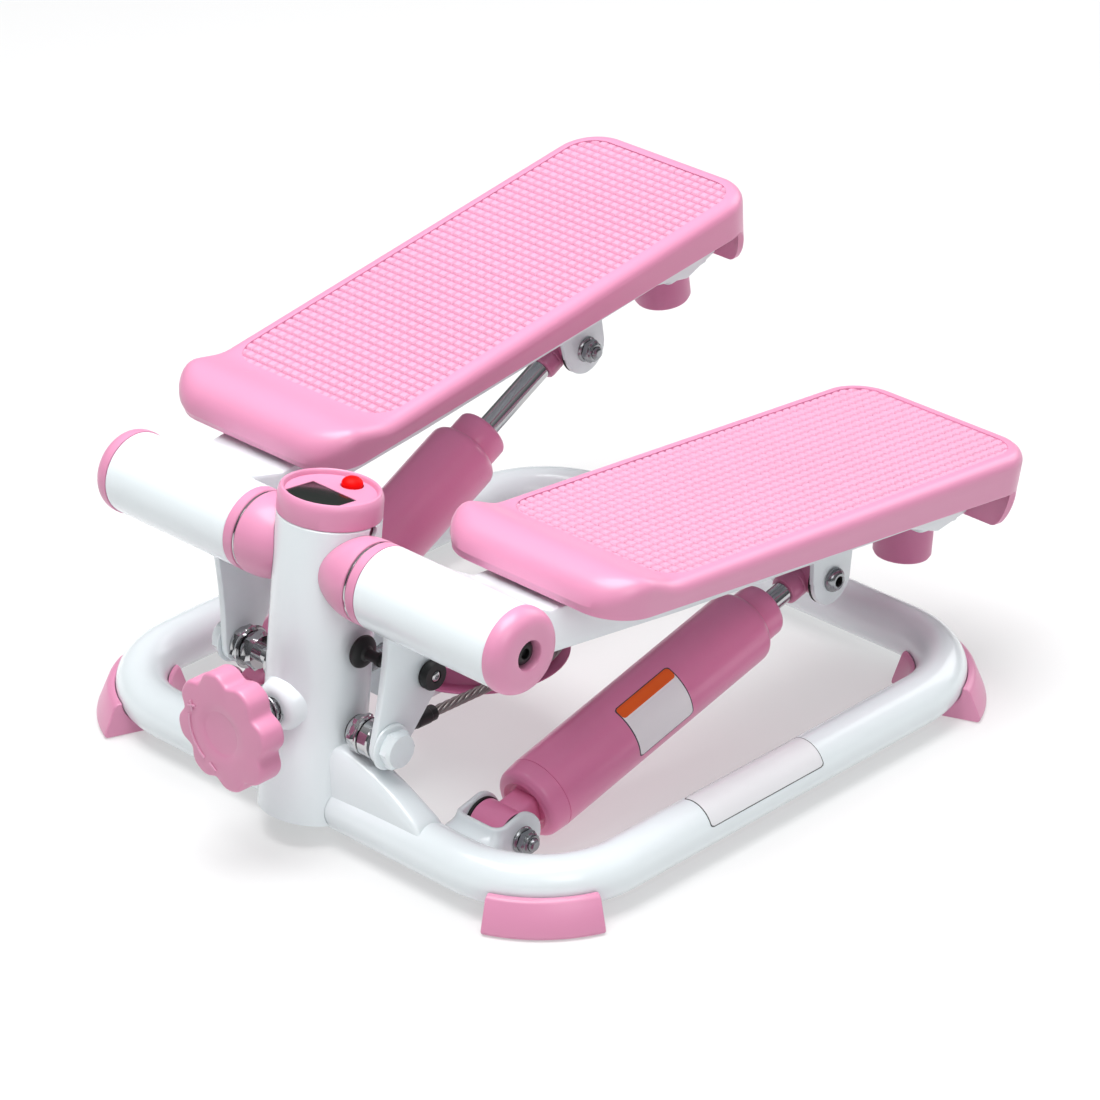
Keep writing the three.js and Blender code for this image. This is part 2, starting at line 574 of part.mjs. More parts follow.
// The bolt passes through the plate at x and carries the rope's eye between two washers. Where the
// plate stands further out, a pair of nuts clamps it.
function leverBolt(x) {
  const face = x + LEVER_T + GAP;
  const eyeSide = ROPE_X - ROPE_EYE_HALF - 0.4;
  const pieces = [
    rodX(LEVER_BOLT_R, eyeSide - 10.8, face + 3, 0, 0, 12),
    rodX(LEVER_HEX_R, face + 1.8, face + 9, 0, 0, 6),
    rodX(13.5, face, face + 2, 0, 0, 16),
    rodX(LEVER_HEX_R, eyeSide - 8.8, eyeSide - 1.7, 0, 0, 6),
    rodX(11.5, eyeSide - 1.8, eyeSide, 0, 0, 16),
  ];
  if (x > ROPE_X + 20) {
    pieces.push(
      rodX(LEVER_HEX_R, x - 6.5, x - GAP, 0, 0, 6),
      rodX(13, x - 8.3, x - 6.4, 0, 0, 16),
      rodX(LEVER_HEX_R, x - 16.5, x - 8.2, 0, 0, 6),
    );
  }
  return join(...pieces).translate(0, LEVER_U, LEVER_V);
}

function stopRubber(x) {
  const face = x + LEVER_T + GAP;
  return cut(
    turnedX([[0, x - 4], [2.4, x - 4], [2.4, face], [7.6, face], [8.6, face + 1.2], [8.6, face + 4.6],
      [7.6, face + 5.8], [0, face + 5.8]], 20),
    rodX(3.6, face + 4.2, face + 12, 0, 0, 12),
  ).translate(0, STOP_U, STOP_V);
}

function magnetHolder(x) {
  return turnedX([[0, 34], [8.6, 34], [9.6, 35.2], [9.6, 37], [8, 38], [3.2, 39.4], [3.2, x - GAP],
    [2.4, x - GAP], [2.4, x + 4], [0, x + 4]], 20).translate(0, MAGNET_U, MAGNET_V);
}

function endCap() {
  const x = TUBE_OUT + GAP;
  return turnedX([
    [AXLE_R + GAP, x - 10], [TUBE_R - 2.8, x - 10], [TUBE_R - 2.8, x], [TUBE_R + 0.6, x],
    [TUBE_R + 0.6, x + 2.5], [TUBE_R - 0.6, x + 6.5], [TUBE_R - 3.6, x + 9.6], [TUBE_R - 8, CAP_OUT - 0.6],
    [AXLE_R + 1.2, CAP_OUT], [AXLE_R + GAP, CAP_OUT - 0.8], [AXLE_R + GAP, x - 10],
  ]);
}

// One pedal with everything that turns on the axle with it.
for (const [side, s, tilt] of SIDES) {
  const pedal = new THREE.Group();
  pedal.position.set(0, AXLE_Y, AXLE_Z);
  pedal.rotation.x = tilt;
  stepper.add(pedal);
  const put = (name, geometry, material) => add(pedal, `${name}_${side}`, sided(geometry, s), material);
  put('pivot_tube', turnedX(ring(TUBE_R - 2.5, TUBE_R, TUBE_IN, TUBE_OUT)), white);
  put('end_cap', endCap(), pink);
  put('end_screw', cut(turnedX([[0, 150.3], [7.4, 150.3], [7.4, 154], [5.5, 156], [0, 156.6]], 20),
    rodX(2.6, 153.5, 160, 0, 0, 6)), black);
  put('lever_plate', leverPlate(LEVER_X[side]), white);
  put('lever_bolt', leverBolt(LEVER_X[side]), chrome);
  put('stop_rubber', stopRubber(LEVER_X[side]), black);
  put('pedal_arm', pedalArm(), white);
  put('pedal_shell', pedalShell(), pink);
  put('rear_bumper', turnedZ([[0, -65], [15, -65], [17.5, -61], [17.5, -36.3], [0, -36.3]])
    .translate(CYL_X, BUMPER_U, 0), mauve);
  put('ear_bolt', earBolt(1).translate(CYL_X, EAR_U, EAR_V), chrome);
  if (s > 0) put('magnet_holder', magnetHolder(LEVER_X[side]), black);

  const at = (u, v) => new THREE.Vector2(
    AXLE_Y + u * Math.cos(tilt) - v * Math.sin(tilt), AXLE_Z + u * Math.sin(tilt) + v * Math.cos(tilt));

  // The rope's end stays level while the lever swings.
  const lug = at(LEVER_U, LEVER_V);
  const ropeSide = s * ROPE_X;
  const drop = Math.atan2(PULLEY_Z - lug.y, PULLEY_Y - lug.x);
  const ropeEnd = new THREE.Group();
  ropeEnd.position.set(ropeSide, lug.x, lug.y);
  ropeEnd.rotation.x = drop;
  stepper.add(ropeEnd);
  add(ropeEnd, `rope_end_${side}`, cut(
    join(rodX(11, -ROPE_EYE_HALF, ROPE_EYE_HALF), box(-ROPE_EYE_HALF, ROPE_EYE_HALF, 0, 16, -5, 5),
      turnedY([[0, 12.5], [SLEEVE_R, 12.5], [SLEEVE_R, ROPE_EYE_LEN - 1], [SLEEVE_R - 1, ROPE_EYE_LEN],
        [0, ROPE_EYE_LEN]], 12)),
    rodX(5.6, -10, 10, 0, 0, 12)), black);
  const reach = Math.hypot(PULLEY_Y - lug.x, PULLEY_Z - lug.y);
  add(ropeEnd, `rope_run_${side}`, rodY(ROPE_R, ROPE_EYE_LEN + GAP, reach - GAP, 0, 0, 8), steel);

  // The cylinder stands on the frame and leans until its rod meets the pedal's ears.
  const pin = at(EAR_U, EAR_V);
  const length = Math.hypot(pin.x - FOOT_PIN_Y, pin.y - FOOT_PIN_Z);
  const cylinder = new THREE.Group();
  cylinder.position.set(s * CYL_X, FOOT_PIN_Y, FOOT_PIN_Z);
  cylinder.rotation.x = Math.atan2(pin.y - FOOT_PIN_Z, pin.x - FOOT_PIN_Y);
  stepper.add(cylinder);
  add(cylinder, `cylinder_body_${side}`, cylinderBody(), mauve);
  add(cylinder, `piston_rod_${side}`, rodY(ROD_R, length - 192, length - ROD_END - GAP, 0, 0, 20), chrome);
  add(cylinder, `rod_end_${side}`, rodEnd().translate(0, length, 0), mauve);
  add(stepper, `foot_bracket_${side}`, sided(footBracket(), s), white);
  add(stepper, `foot_bolt_${side}`,
    earBolt(-s).translate(s * CYL_X, FOOT_PIN_Y, FOOT_PIN_Z), chrome);
}

const rearEdge = AXLE_Y + PEDAL_REAR * Math.cos(LEFT_TILT) - TREAD_V * Math.sin(LEFT_TILT);
stepper.position.y = -(KNOB_FRONT + rearEdge) / 2;

export default stepper;
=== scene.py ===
import math

import bmesh
import bpy
from mathutils import Matrix, Vector


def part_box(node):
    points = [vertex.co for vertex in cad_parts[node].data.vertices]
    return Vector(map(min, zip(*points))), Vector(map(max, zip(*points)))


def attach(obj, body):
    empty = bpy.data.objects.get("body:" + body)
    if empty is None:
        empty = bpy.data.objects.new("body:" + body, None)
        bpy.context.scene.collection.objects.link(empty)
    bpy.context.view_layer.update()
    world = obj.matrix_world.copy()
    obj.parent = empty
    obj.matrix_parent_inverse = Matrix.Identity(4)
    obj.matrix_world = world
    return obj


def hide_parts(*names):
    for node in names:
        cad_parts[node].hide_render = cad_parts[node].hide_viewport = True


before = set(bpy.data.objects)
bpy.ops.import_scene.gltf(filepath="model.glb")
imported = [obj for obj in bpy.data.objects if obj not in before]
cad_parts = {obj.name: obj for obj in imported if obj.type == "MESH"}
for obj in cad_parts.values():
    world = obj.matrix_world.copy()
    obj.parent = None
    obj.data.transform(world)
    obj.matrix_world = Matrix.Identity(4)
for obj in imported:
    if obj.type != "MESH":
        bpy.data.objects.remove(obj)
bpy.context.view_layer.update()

# ---- driving dimensions, as in the CAD ----
MM = 0.001
SHIFT_Y = (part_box("foot_front_left")[0].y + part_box("foot_rear_left")[1].y) / 2 / MM
FRAME_HALF_X, FRAME_HALF_Y, FRAME_CORNER = 179, 185, 60
FRAME_R, FRAME_Z = 15, 21
POST_LEAN, POST_Y, POST_RX, POST_RY = math.radians(6.8), -186, 30, 28.5
POST_TOP = 166.5
BUTTON_Y = 16                          # the button's place on the monitor, from the post's middle
AXLE_Y, AXLE_Z, AXLE_R = -175, 162, 8
TUBE_R, TUBE_IN, TUBE_OUT, CAP_OUT = 24, 44.8, 148, 160
TILT = {"left": math.radians(-5.6), "right": math.radians(8.9)}
PEDAL_IN, PEDAL_OUT, PEDAL_FRONT, PEDAL_REAR = 36, 177.5, 47, 408
TREAD_V, SHELL_T = 21.3, 3.5
ARM_IN, ARM_OUT, ARM_T = 73, 133, 2.5
ARM_TOP = TREAD_V - SHELL_T - 0.6
BUMPER_U = 382
LEVER_X, LEVER_T, LEVER_U, LEVER_V = {"left": 56, "right": 82}, 5, 1, -91
STOP_U, STOP_V, MAGNET_U, MAGNET_V = 28, -55, 2, -44
CYL_X, FOOT_PIN_Y, FOOT_PIN_Z = 103, -141, 19
EAR_U, EAR_V, EAR_IN, EAR_T = 297, -51.5, 14, 3.5
ROD_R, ROD_IN, ROD_END, BOLT_R = 6.5, 192, 24, 4
BODY_R, COLLAR_TOP = 22.5, 223
EYE_R, EYE_HALF, EYE_HOLE = 13, 12, 5.5
KNOB_Z, KNOB_R, KNOB_BACK, KNOB_FRONT, BOSS_Y = 83, 35, -235, -251, -212
KNOB_LOBES, KNOB_WAVE, KNOB_TURN = 8, 2.2, math.radians(12.5)
SCREW_R, SCREW_END, SCREW_PITCH = 6, -119.5, 1.75
PULLEY_Y, PULLEY_Z, PULLEY_R, ROPE_R, ROPE_X = -56, 67, 55, 3, 49.5
YOKE_FRONT, YOKE_T = -126, 7
ROPE_EYE_LEN = 45
ROPE_LAY, ROPE_LEAD = 34, 24           # length of one twist; how far the rope runs on past the pulley
TOE = 8.5                              # height of the toe ridge over the tread
SKIRT_TOE, SKIRT_REAR = 7.5, -3.5      # lower edge of the pedal's sides at the toe and at the rear
REAR_LIP = 32                          # how much lower the rear wall hangs
PANEL_DEPTH = 1.9                      # how far the tread's floor lies below the rim
EDGE = 7                               # rounding of the pedal's sides
SIDES = (("left", 1), ("right", -1))
SQUARE = ((-1, -1), (1, -1), (1, 1), (-1, 1))

# ---- places: local millimetres to row metres ----
ROW = Matrix.Translation((0, SHIFT_Y * MM, 0)) @ Matrix.Scale(MM, 4)
UPRIGHT = Matrix.Identity(4)
TURN_X = Matrix.Rotation(math.radians(90), 4, "Y")     # local Z becomes +X
TURN_Y = Matrix.Rotation(math.radians(-90), 4, "X")    # local Z becomes +Y
MIRROR = Matrix.Scale(-1, 4, (1, 0, 0))
SIDEWAYS = Matrix(((0, 0, 1, 0), (1, 0, 0, 0), (0, 1, 0, 0), (0, 0, 0, 1)))    # (Y, Z) drawn along X
LEAN = Matrix.Translation((0, POST_Y, FRAME_Z)) @ Matrix.Rotation(-POST_LEAN, 4, "X")


def at(x, y, z):
    return Matrix.Translation((x, y, z))


ORIGIN = at(0, 0, 0)
AXLE = at(0, AXLE_Y, AXLE_Z)


def sided(side):
    return UPRIGHT if side > 0 else MIRROR


def pedal_place(name):
    return AXLE @ Matrix.Rotation(TILT[name], 4, "X")


def pedal_point(name, u, v):
    point = pedal_place(name) @ Vector((0, u, v))
    return point.y, point.z


def aimed(x, y0, z0, y1, z1):
    """A place at (x, y0, z0) whose +Y axis points at (x, y1, z1)."""
    return at(x, y0, z0) @ Matrix.Rotation(math.atan2(z1 - z0, y1 - y0), 4, "X")


# ---- outlines ----
def cosd(angle):
    return math.cos(math.radians(angle))


def sind(angle):
    return math.sin(math.radians(angle))


def oval(cx, cy, rx, ry, angles):
    """Points of an ellipse at the angles, in degrees."""
    return [(cx + rx * cosd(a), cy + ry * sind(a)) for a in angles]


def arc(cx, cy, r, start, end, steps):
    """Points of a circle's arc, angles in degrees."""
    return oval(cx, cy, r, r, [start + (end - start) * i / steps for i in range(steps + 1)])


def corners(x0, x1, y0, y1, r, steps):
    """The rounded corners of a rectangle, anticlockwise from the one at x1, y0."""
    middles = ((x1 - r, y0 + r), (x1 - r, y1 - r), (x0 + r, y1 - r), (x0 + r, y0 + r))
    return [arc(cx, cy, r, 90 * i - 90, 90 * i, steps) for i, (cx, cy) in enumerate(middles)]


def rounded_rect(x0, x1, y0, y1, r, steps):
    return sum(corners(x0, x1, y0, y1, r, steps), [])


def bowed(a, b, c):
    """Points of a curve from a to c that bends towards b."""
    return [tuple((1 - t) ** 2 * p + 2 * t * (1 - t) * q + t * t * r for p, q, r in zip(a, b, c))
            for t in [i / 10 for i in range(11)]]


def ellipse_ring(rx, ry, z, sides=72):
    return [Vector((x, y, z)) for x, y in oval(0, 0, rx, ry, [360 * i / sides for i in range(sides)])]


def shrunk(outline, inset):
    """The outline moved inwards by inset; the outline runs anticlockwise."""
    if not inset:
        return outline
    moved, count = [], len(outline)
    for i in range(count):
        (ax, ay), (bx, by), (cx, cy) = outline[i - 1], outline[i], outline[(i + 1) % count]
        first = Vector((bx - ax, by - ay)).normalized()
        second = Vector((cx - bx, cy - by)).normalized()
        inward = Vector((-first.y - second.y, first.x + second.x))
        inward = inward.normalized() if inward.length > 1e-6 else Vector((-first.y, first.x))
        spread = max(0.4, inward.dot(Vector((-first.y, first.x))))
        moved.append((bx + inward.x * inset / spread, by + inward.y * inset / spread))
    return moved


def slid(by, profile):
    """A lathe profile moved along its axis."""
    return [(r, by + along) for r, along in profile]


# ---- finishes ----
def put(node, **values):
    """Sets inputs of a shader node; a name's underscores stand for spaces."""
    for name, value in values.items():
        node.inputs[name.replace("_", " ")].default_value = value
    return node


def srgb(red, green, blue):
    return [((c + 0.055) / 1.055) ** 2.4 if c > 0.04045 else c / 12.92 for c in (red, green, blue)] + [1]


def finish(name, colour, roughness, metallic=0.0, coat=0.0, shade=0.04, grain=900, bump=0.02, wear=0.06):
    """A shader whose colour, roughness and surface all vary a little over the piece."""
    material = bpy.data.materials.new(name)
    material.use_nodes = True
    nodes, links = material.node_tree.nodes, material.node_tree.links
    shader = put(nodes["Principled BSDF"], Metallic=metallic, Coat_Weight=coat, Coat_Roughness=0.06)
    place = nodes.new("ShaderNodeTexCoord")

    def noise(scale, detail):
        node = put(nodes.new("ShaderNodeTexNoise"), Scale=scale, Detail=detail)
        links.new(place.outputs["Object"], node.inputs["Vector"])
        return node

    broad, fine = noise(14, 3), noise(grain, 2)
    tint = nodes.new("ShaderNodeMix")
    tint.data_type = "RGBA"
    put(tint, A=srgb(*[max(0, c * (1 - shade)) for c in colour]),
        B=srgb(*[min(1, c * (1 + shade)) for c in colour]))
    links.new(broad.outputs["Fac"], tint.inputs["Factor"])
    links.new(tint.outputs["Result"], shader.inputs["Base Color"])
    rough = put(nodes.new("ShaderNodeMapRange"),
                To_Min=max(0.02, roughness - wear), To_Max=min(1, roughness + wear))
    links.new(fine.outputs["Fac"], rough.inputs["Value"])
    links.new(rough.outputs["Result"], shader.inputs["Roughness"])
    relief = put(nodes.new("ShaderNodeBump"), Strength=bump, Distance=0.0004)
    links.new(fine.outputs["Fac"], relief.inputs["Height"])
    links.new(relief.outputs["Normal"], shader.inputs["Normal"])
    return material


WHITE = finish("white_powder_coat", (0.905, 0.935, 0.945), 0.24, coat=0.25, shade=0.008, grain=1400,
               bump=0.012)
PINK = finish("pink_plastic", (0.85, 0.56, 0.69), 0.36, coat=0.10, shade=0.015, grain=2600, bump=0.03)
KNOB_PINK = finish("knob_plastic", (0.83, 0.535, 0.665), 0.36, coat=0.10, shade=0.015, grain=2600,
                   bump=0.03)
TREAD = finish("tread_plastic", (0.845, 0.61, 0.72), 0.44, shade=0.015, grain=2600, bump=0.04)
# The barrels' mauve is their paint colour made lighter: painted light that makes up for the shade under the
# pedals.
MAUVE = finish("mauve_paint", (0.93, 0.54, 0.71), 0.30, coat=0.25, shade=0.02, grain=900)
EYE_MAUVE = finish("eye_paint", (0.79, 0.45, 0.60), 0.32, coat=0.15, shade=0.02, grain=900)
MAUVE_PLASTIC = finish("mauve_plastic", (0.80, 0.46, 0.62), 0.42, shade=0.03, grain=2200, bump=0.04)
CHROME = finish("polished_chrome", (0.75, 0.75, 0.755), 0.11, metallic=1, shade=0.02, grain=700, bump=0.005,
                wear=0.04)
STEEL = finish("zinc_plated_steel", (0.60, 0.61, 0.62), 0.24, metallic=1, shade=0.08, bump=0.04)
ROPE = finish("rope_wire", (0.56, 0.545, 0.535), 0.36, metallic=1, shade=0.15, grain=1800, bump=0.08)
RUBBER = finish("black_rubber", (0.045, 0.045, 0.05), 0.5, shade=0.2, grain=2200, bump=0.06)
RED = finish("red_button", (0.93, 0.02, 0.01), 0.5, shade=0.03, grain=500, bump=0.005)
put(RED.node_tree.nodes["Principled BSDF"], Specular_IOR_Level=0.12)
GLASS = finish("dark_window", (0.07, 0.09, 0.07), 0.22, coat=0.25, shade=0.12, grain=300, bump=0.0)
LABEL = finish("blank_label", (0.90, 0.90, 0.91), 0.45, shade=0.01, grain=800, bump=0.01)
# The cylinder's sticker sheet is a lighter copy of the label white: painted light for the cylinder's shaded
# side, while the frame's sticker keeps the plain white.
LABEL_WITH_PAINTED_LIGHT = finish("cylinder_label", (1.0, 0.985, 1.0), 0.45, shade=0.01, grain=800, bump=0.01)
LABEL_EDGE = finish("label_edge", (0.25, 0.25, 0.26), 0.5, shade=0.02, grain=800, bump=0.01)
# The band's orange is made lighter too, painted light for the same shaded side of the cylinder.
LABEL_BAND = finish("label_band", (1.0, 0.40, 0.06), 0.45, shade=0.02, grain=800, bump=0.01)


# ---- meshes ----
def linked(name, data):
    thing = bpy.data.objects.new(name, data)
    bpy.context.scene.collection.objects.link(thing)
    return thing


class Solid:
    """Gathers rings and faces in local millimetres, then becomes one smooth-shaded object."""

    def __init__(self):
        self.mesh = bmesh.new()

    def ring(self, points):
        return [self.mesh.verts.new(p) for p in points]

    def skin(self, a, b):
        for i in range(len(a)):
            j = (i + 1) % len(a)
            self.mesh.faces.new((a[i], a[j], b[j], b[i]))

    def loft(self, rings, closed=False):
        rows = [self.ring(r) for r in rings]
        for a, b in zip(rows, rows[1:]):
            self.skin(a, b)
        if closed:
            self.skin(rows[-1], rows[0])
        else:
            self.mesh.faces.new(rows[0][::-1])
            self.mesh.faces.new(rows[-1])
        return self

    def lathe(self, profile, turn, sides=72, closed=None):
        """profile holds (radius, distance along the axis); turn makes local Z the axis.

        A profile that starts off the axis is closed into a ring, unless closed says otherwise.
        """
        step = 2 * math.pi / sides
        rings = []
        for radius, along in profile:
            r = max(radius, 0.01)
            rings.append([turn @ Vector((r * math.cos(i * step), r * math.sin(i * step), along))
                          for i in range(sides)])
        return self.loft(rings, closed=profile[0][0] > 0 if closed is None else closed)

    def prism(self, outline, turn, low, high, edge=0.8):
        """An outline drawn across the axis, with rounded top and bottom edges."""
        steps = [(edge, low), (edge * 0.3, low + edge * 0.3), (0, low + edge),
                 (0, high - edge), (edge * 0.3, high - edge * 0.3), (edge, high)]
        rings = []
        for inset, along in steps:
            rings.append([turn @ Vector((x, y, along)) for x, y in shrunk(outline, inset)])
        return self.loft(rings)

    def tube(self, path, radius, sides=16, closed=False):
        """A round bar along a list of points; radius is a number or a function of the share run."""
        rings, count = [], len(path)
        normal = None
        for i, point in enumerate(path):
            before = path[i - 1] if i or closed else path[0]
            after = path[(i + 1) % count] if i + 1 < count or closed else path[-1]
            along = (after - before).normalized()
            if normal is None:
                normal = along.orthogonal().normalized()
            normal = (normal - along * normal.dot(along)).normalized()
            other = along.cross(normal)
            r = radius(i / (count - 1)) if callable(radius) else radius
            step = 2 * math.pi / sides
            rings.append([point + normal * r * math.cos(k * step) + other * r * math.sin(k * step)
                          for k in range(sides)])
        return self.loft(rings, closed=closed)

    def done(self, name, material, body, place, replaces=(), angle=35, bevel=0.0):
        return settled(raw(self, name, place), material, body, replaces, angle, bevel)


def raw(solid, name, place):
    """The bare object of a Solid, to be cut, to cut with or to settle."""
    bmesh.ops.remove_doubles(solid.mesh, verts=solid.mesh.verts, dist=0.004)
    bmesh.ops.transform(solid.mesh, matrix=ROW @ place, verts=solid.mesh.verts)
    bmesh.ops.recalc_face_normals(solid.mesh, faces=solid.mesh.faces)
    data = bpy.data.meshes.new(name)
    solid.mesh.to_mesh(data)
    solid.mesh.free()
    return linked(name, data)


def settled(piece, material, body, replaces=(), angle=35, bevel=0.0):
    piece.data.materials.append(material)
    shade(piece.data, angle)
    if bevel:
        rounding = piece.modifiers.new("edges", "BEVEL")
        rounding.width = bevel * MM
        rounding.segments = 3
        rounding.limit_method = "ANGLE"
        rounding.angle_limit = math.radians(32)
        rounding.harden_normals = True
    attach(piece, body)
    if replaces:
        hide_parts(*replaces)
    return piece


def shade(data, angle):
    """Smooth shading with an edge kept sharp where its faces meet at more than the angle."""
    work = bmesh.new()
    work.from_mesh(data)
    for face in work.faces:
        face.smooth = True
    for edge in work.edges:
        edge.smooth = edge.calc_face_angle(0) < math.radians(angle)
    work.to_mesh(data)
    work.free()


def carved(piece, *tools):
    """Cuts closed tool objects out of a piece and removes them."""
    for tool in tools:
        cut = piece.modifiers.new("cut", "BOOLEAN")
        cut.object = tool
        cut.operation = "DIFFERENCE"
        cut.solver = "EXACT"
        bpy.context.view_layer.objects.active = piece
        with bpy.context.temp_override(object=piece, active_object=piece):
            bpy.ops.object.modifier_apply(modifier=cut.name)
        bpy.data.objects.remove(tool)
    return piece


def lathe_tool(radius, turn, low, high, place, sides=48):
    bar = Solid().lathe([(radius, low), (radius, high)], turn, sides, closed=False)
    return raw(bar, "tool", place)


def prism_tool(outline, turn, low, high, place):
    return raw(Solid().prism(outline, turn, low, high, edge=0.01), "tool", place)


def post_tool(grow):
    """The post's solid, grown all round, to cut what is welded or pushed against it."""
    ends = [ellipse_ring(POST_RX + grow, POST_RY + grow, z) for z in (-20, 230)]
    return raw(Solid().loft(ends), "tool", LEAN)


# ---- floor frame ----
def base_tube():
    bends = corners(-FRAME_HALF_X, FRAME_HALF_X, -FRAME_HALF_Y, FRAME_HALF_Y, FRAME_CORNER, 24)
    path = [Vector((x, y, FRAME_Z)) for x, y in sum(bends[1:] + bends[:1], [])]
    Solid().tube(path, FRAME_R, sides=40, closed=True).done(
        "base_tube_painted", WHITE, "frame", ORIGIN, ["base_tube"], angle=60)


def feet():
    """Curved pads under the corners; each holds the tube in a saddle and flares towards the floor."""
    r, steps, half_sweep = FRAME_CORNER, 16, math.radians(23)
    saddle = arc(r, FRAME_Z, FRAME_R + 0.4, 360, 180, 14)
    profile = [(r - 23.5, 0), (r + 25.5, 0), (r + 27, 1.4), (r + 26.4, 4), (r + 20.4, FRAME_Z - 2.2),
               (r + 18.6, FRAME_Z - 0.6)] + saddle + [
        (r - 17.4, FRAME_Z - 0.6), (r - 18.6, FRAME_Z - 2), (r - 24.4, 4), (r - 25, 1.4)]
    for end, sy in (("front", -1), ("rear", 1)):
        for name, sx in SIDES:
            swings = [math.atan2(sy, sx) + half_sweep * (2 * i / steps - 1) for i in range(steps + 1)]
            Solid().loft([[Vector((x * math.cos(a), x * math.sin(a), z)) for x, z in profile]
                          for a in swings]).done(
                f"foot_{end}_{name}_pad", PINK, "frame",
                at(sx * (FRAME_HALF_X - r), sy * (FRAME_HALF_Y - r), 0),
                [f"foot_{end}_{name}"], angle=40, bevel=1.1)


def post():
    low, wall = -9, 2.5
    steps = [(0, low), (0, POST_TOP - 0.6), (0.6, POST_TOP), (wall, POST_TOP), (wall, low)]
    rings = [ellipse_ring(POST_RX - inset, POST_RY - inset, z) for inset, z in steps]
    tube = raw(Solid().loft(rings, closed=True), "post_painted", LEAN)
    carved(tube,
           lathe_tool(FRAME_R + 0.3, TURN_X, -60, 60, at(0, -FRAME_HALF_Y, FRAME_Z)),
           lathe_tool(AXLE_R + 0.3, TURN_X, -60, 60, AXLE),
           lathe_tool(SCREW_R + 0.5, TURN_Y, -60, 60, at(0, POST_Y, KNOB_Z)),
           lathe_tool(3.4, TURN_X, 10, 60, at(0, AXLE_Y + 13, AXLE_Z + 21)))
    settled(tube, WHITE, "frame", ["front_post"], angle=30)


def gussets():
    """A web with a rounded ridge runs from each side of the post down into the frame tube."""
    steps, start, length = 20, 26, 68
    foot, low = FRAME_Z + 2, FRAME_Z + 4
    rings = []
    for i in range(steps + 1):
        s = i / steps
        top = 62 - 8 * s - 18 * s ** 1.5 + 2.4 * math.sin(math.pi * s) - (1.5 if i == steps else 0)
        half, rise = 9.6 + 1.4 * (1 - s) ** 2, top - low
        ridge = [(half * math.copysign(abs(cosd(a)) ** 0.55, cosd(a)),
                  low + rise * (0.4 + 0.6 * sind(a) ** 0.5)) for a in range(6, 175, 8)]
        shoulder = low + rise * 0.4
        section = [(-half, foot), (half, foot), (half, shoulder)] + ridge + [(-half, shoulder)]
        rings.append([Vector((start + length * s, y - FRAME_HALF_Y, z)) for y, z in section])
    for name, side in SIDES:
        Solid().loft(rings).done(
            f"gusset_{name}_web", WHITE, "frame", sided(side), [f"gusset_{name}"], angle=50)


# ---- monitor ----
def window_outline(inset):
    rx, ry, half = POST_RX * 0.84 - inset, POST_RY * 0.84 - inset, 17 - inset
    corner = math.degrees(math.acos(half / rx))
    angles = [180 + corner + (180 - 2 * corner) * i / 20 for i in range(21)]
    return oval(0, 0, rx, ry, angles) + [(half, 3 - inset), (-half, 3 - inset)]


def monitor():
    """A cap with a raised rim; profile holds (share of the post's radii, height over its top)."""
    base = POST_TOP + 0.3
    floor = base + 11.7
    profile = [(0, -8), (0.86, -8), (0.86, 0), (0.99, 0), (1, 0.5), (1, 9.6), (0.99, 11.6),
               (0.968, 13.3), (0.94, 14.4), (0.91, 14.7), (0.89, 14.3), (0.875, 13.4), (0.864, 11.7),
               (0, 11.7)]
    rings = [ellipse_ring(max(POST_RX * k, 0.01), max(POST_RY * k, 0.01), base + z) for k, z in profile]
    cap = raw(Solid().loft(rings), "monitor_cap", LEAN)
    button_place = LEAN @ at(0, BUTTON_Y, 0)
    carved(cap,
           prism_tool(window_outline(0), UPRIGHT, floor - 1.6, floor + 9, LEAN),
           lathe_tool(6.5, UPRIGHT, floor - 5, floor + 5, button_place))
    settled(cap, PINK, "frame", ["monitor_housing"], angle=30)
    Solid().prism(window_outline(0.3), UPRIGHT, floor - 1.4, floor - 0.2, edge=0.25).done(
        "display_glass", GLASS, "frame", LEAN, ["display_window"])
    dome = [(0, -2.5), (5.9, -2.5)] + oval(0, 1.2, 6, 4, range(0, 90, 9)) + [(0, 5.2)]
    Solid().lathe(slid(floor, dome), UPRIGHT).done(
        "reset_button_dome", RED, "button", button_place, ["reset_button"])


# ---- axle, bushes, rings ----
def axle_and_bushes():
    bar = [(0, -150), (7.2, -150), (8, -149.2), (8, 149.2), (7.2, 150), (0, 150)]
    Solid().lathe(bar, TURN_X).done("axle_bar", STEEL, "frame", AXLE, ["pivot_axle"])
    flank = [(17 + 7 * sind(90 * i / 14), 17 + 24 * (i / 14) ** 1.2) for i in range(15)]
    cone = [(8.4, 17)] + flank + [(24, 42.2), (23.6, 42.6), (8.4, 42.6)]
    band = [(8.4, 42.9), (23, 42.9), (23.5, 43.3), (23.5, 44.1), (23, 44.5), (8.4, 44.5)]
    for name, side in SIDES:
        bush = raw(Solid().lathe(cone, TURN_X), f"cone_bush_{name}_cover", AXLE)
        if side < 0:
            bush.data.transform(MIRROR)
            bush.data.flip_normals()
        carved(bush, post_tool(0.2))
        settled(bush, PINK, "frame", [f"cone_bush_{name}"], angle=40)
        Solid().lathe(band, TURN_X).done(
            f"thrust_ring_{name}_band", CHROME, "frame", sided(side) @ AXLE, [f"thrust_ring_{name}"])


# ---- fasteners ----
def thread(radius, start, end, pitch, depth):
    """A thread's outline as a close zigzag of (radius, distance) pairs."""
    turns = max(2, round((end - start) / pitch))
    step = (end - start) / turns
    profile = []
    for i in range(turns):
        profile += [(radius - depth, start + i * step), (radius, start + (i + 0.45) * step),
                    (radius, start + (i + 0.55) * step)]
    return profile + [(radius - depth, end)]


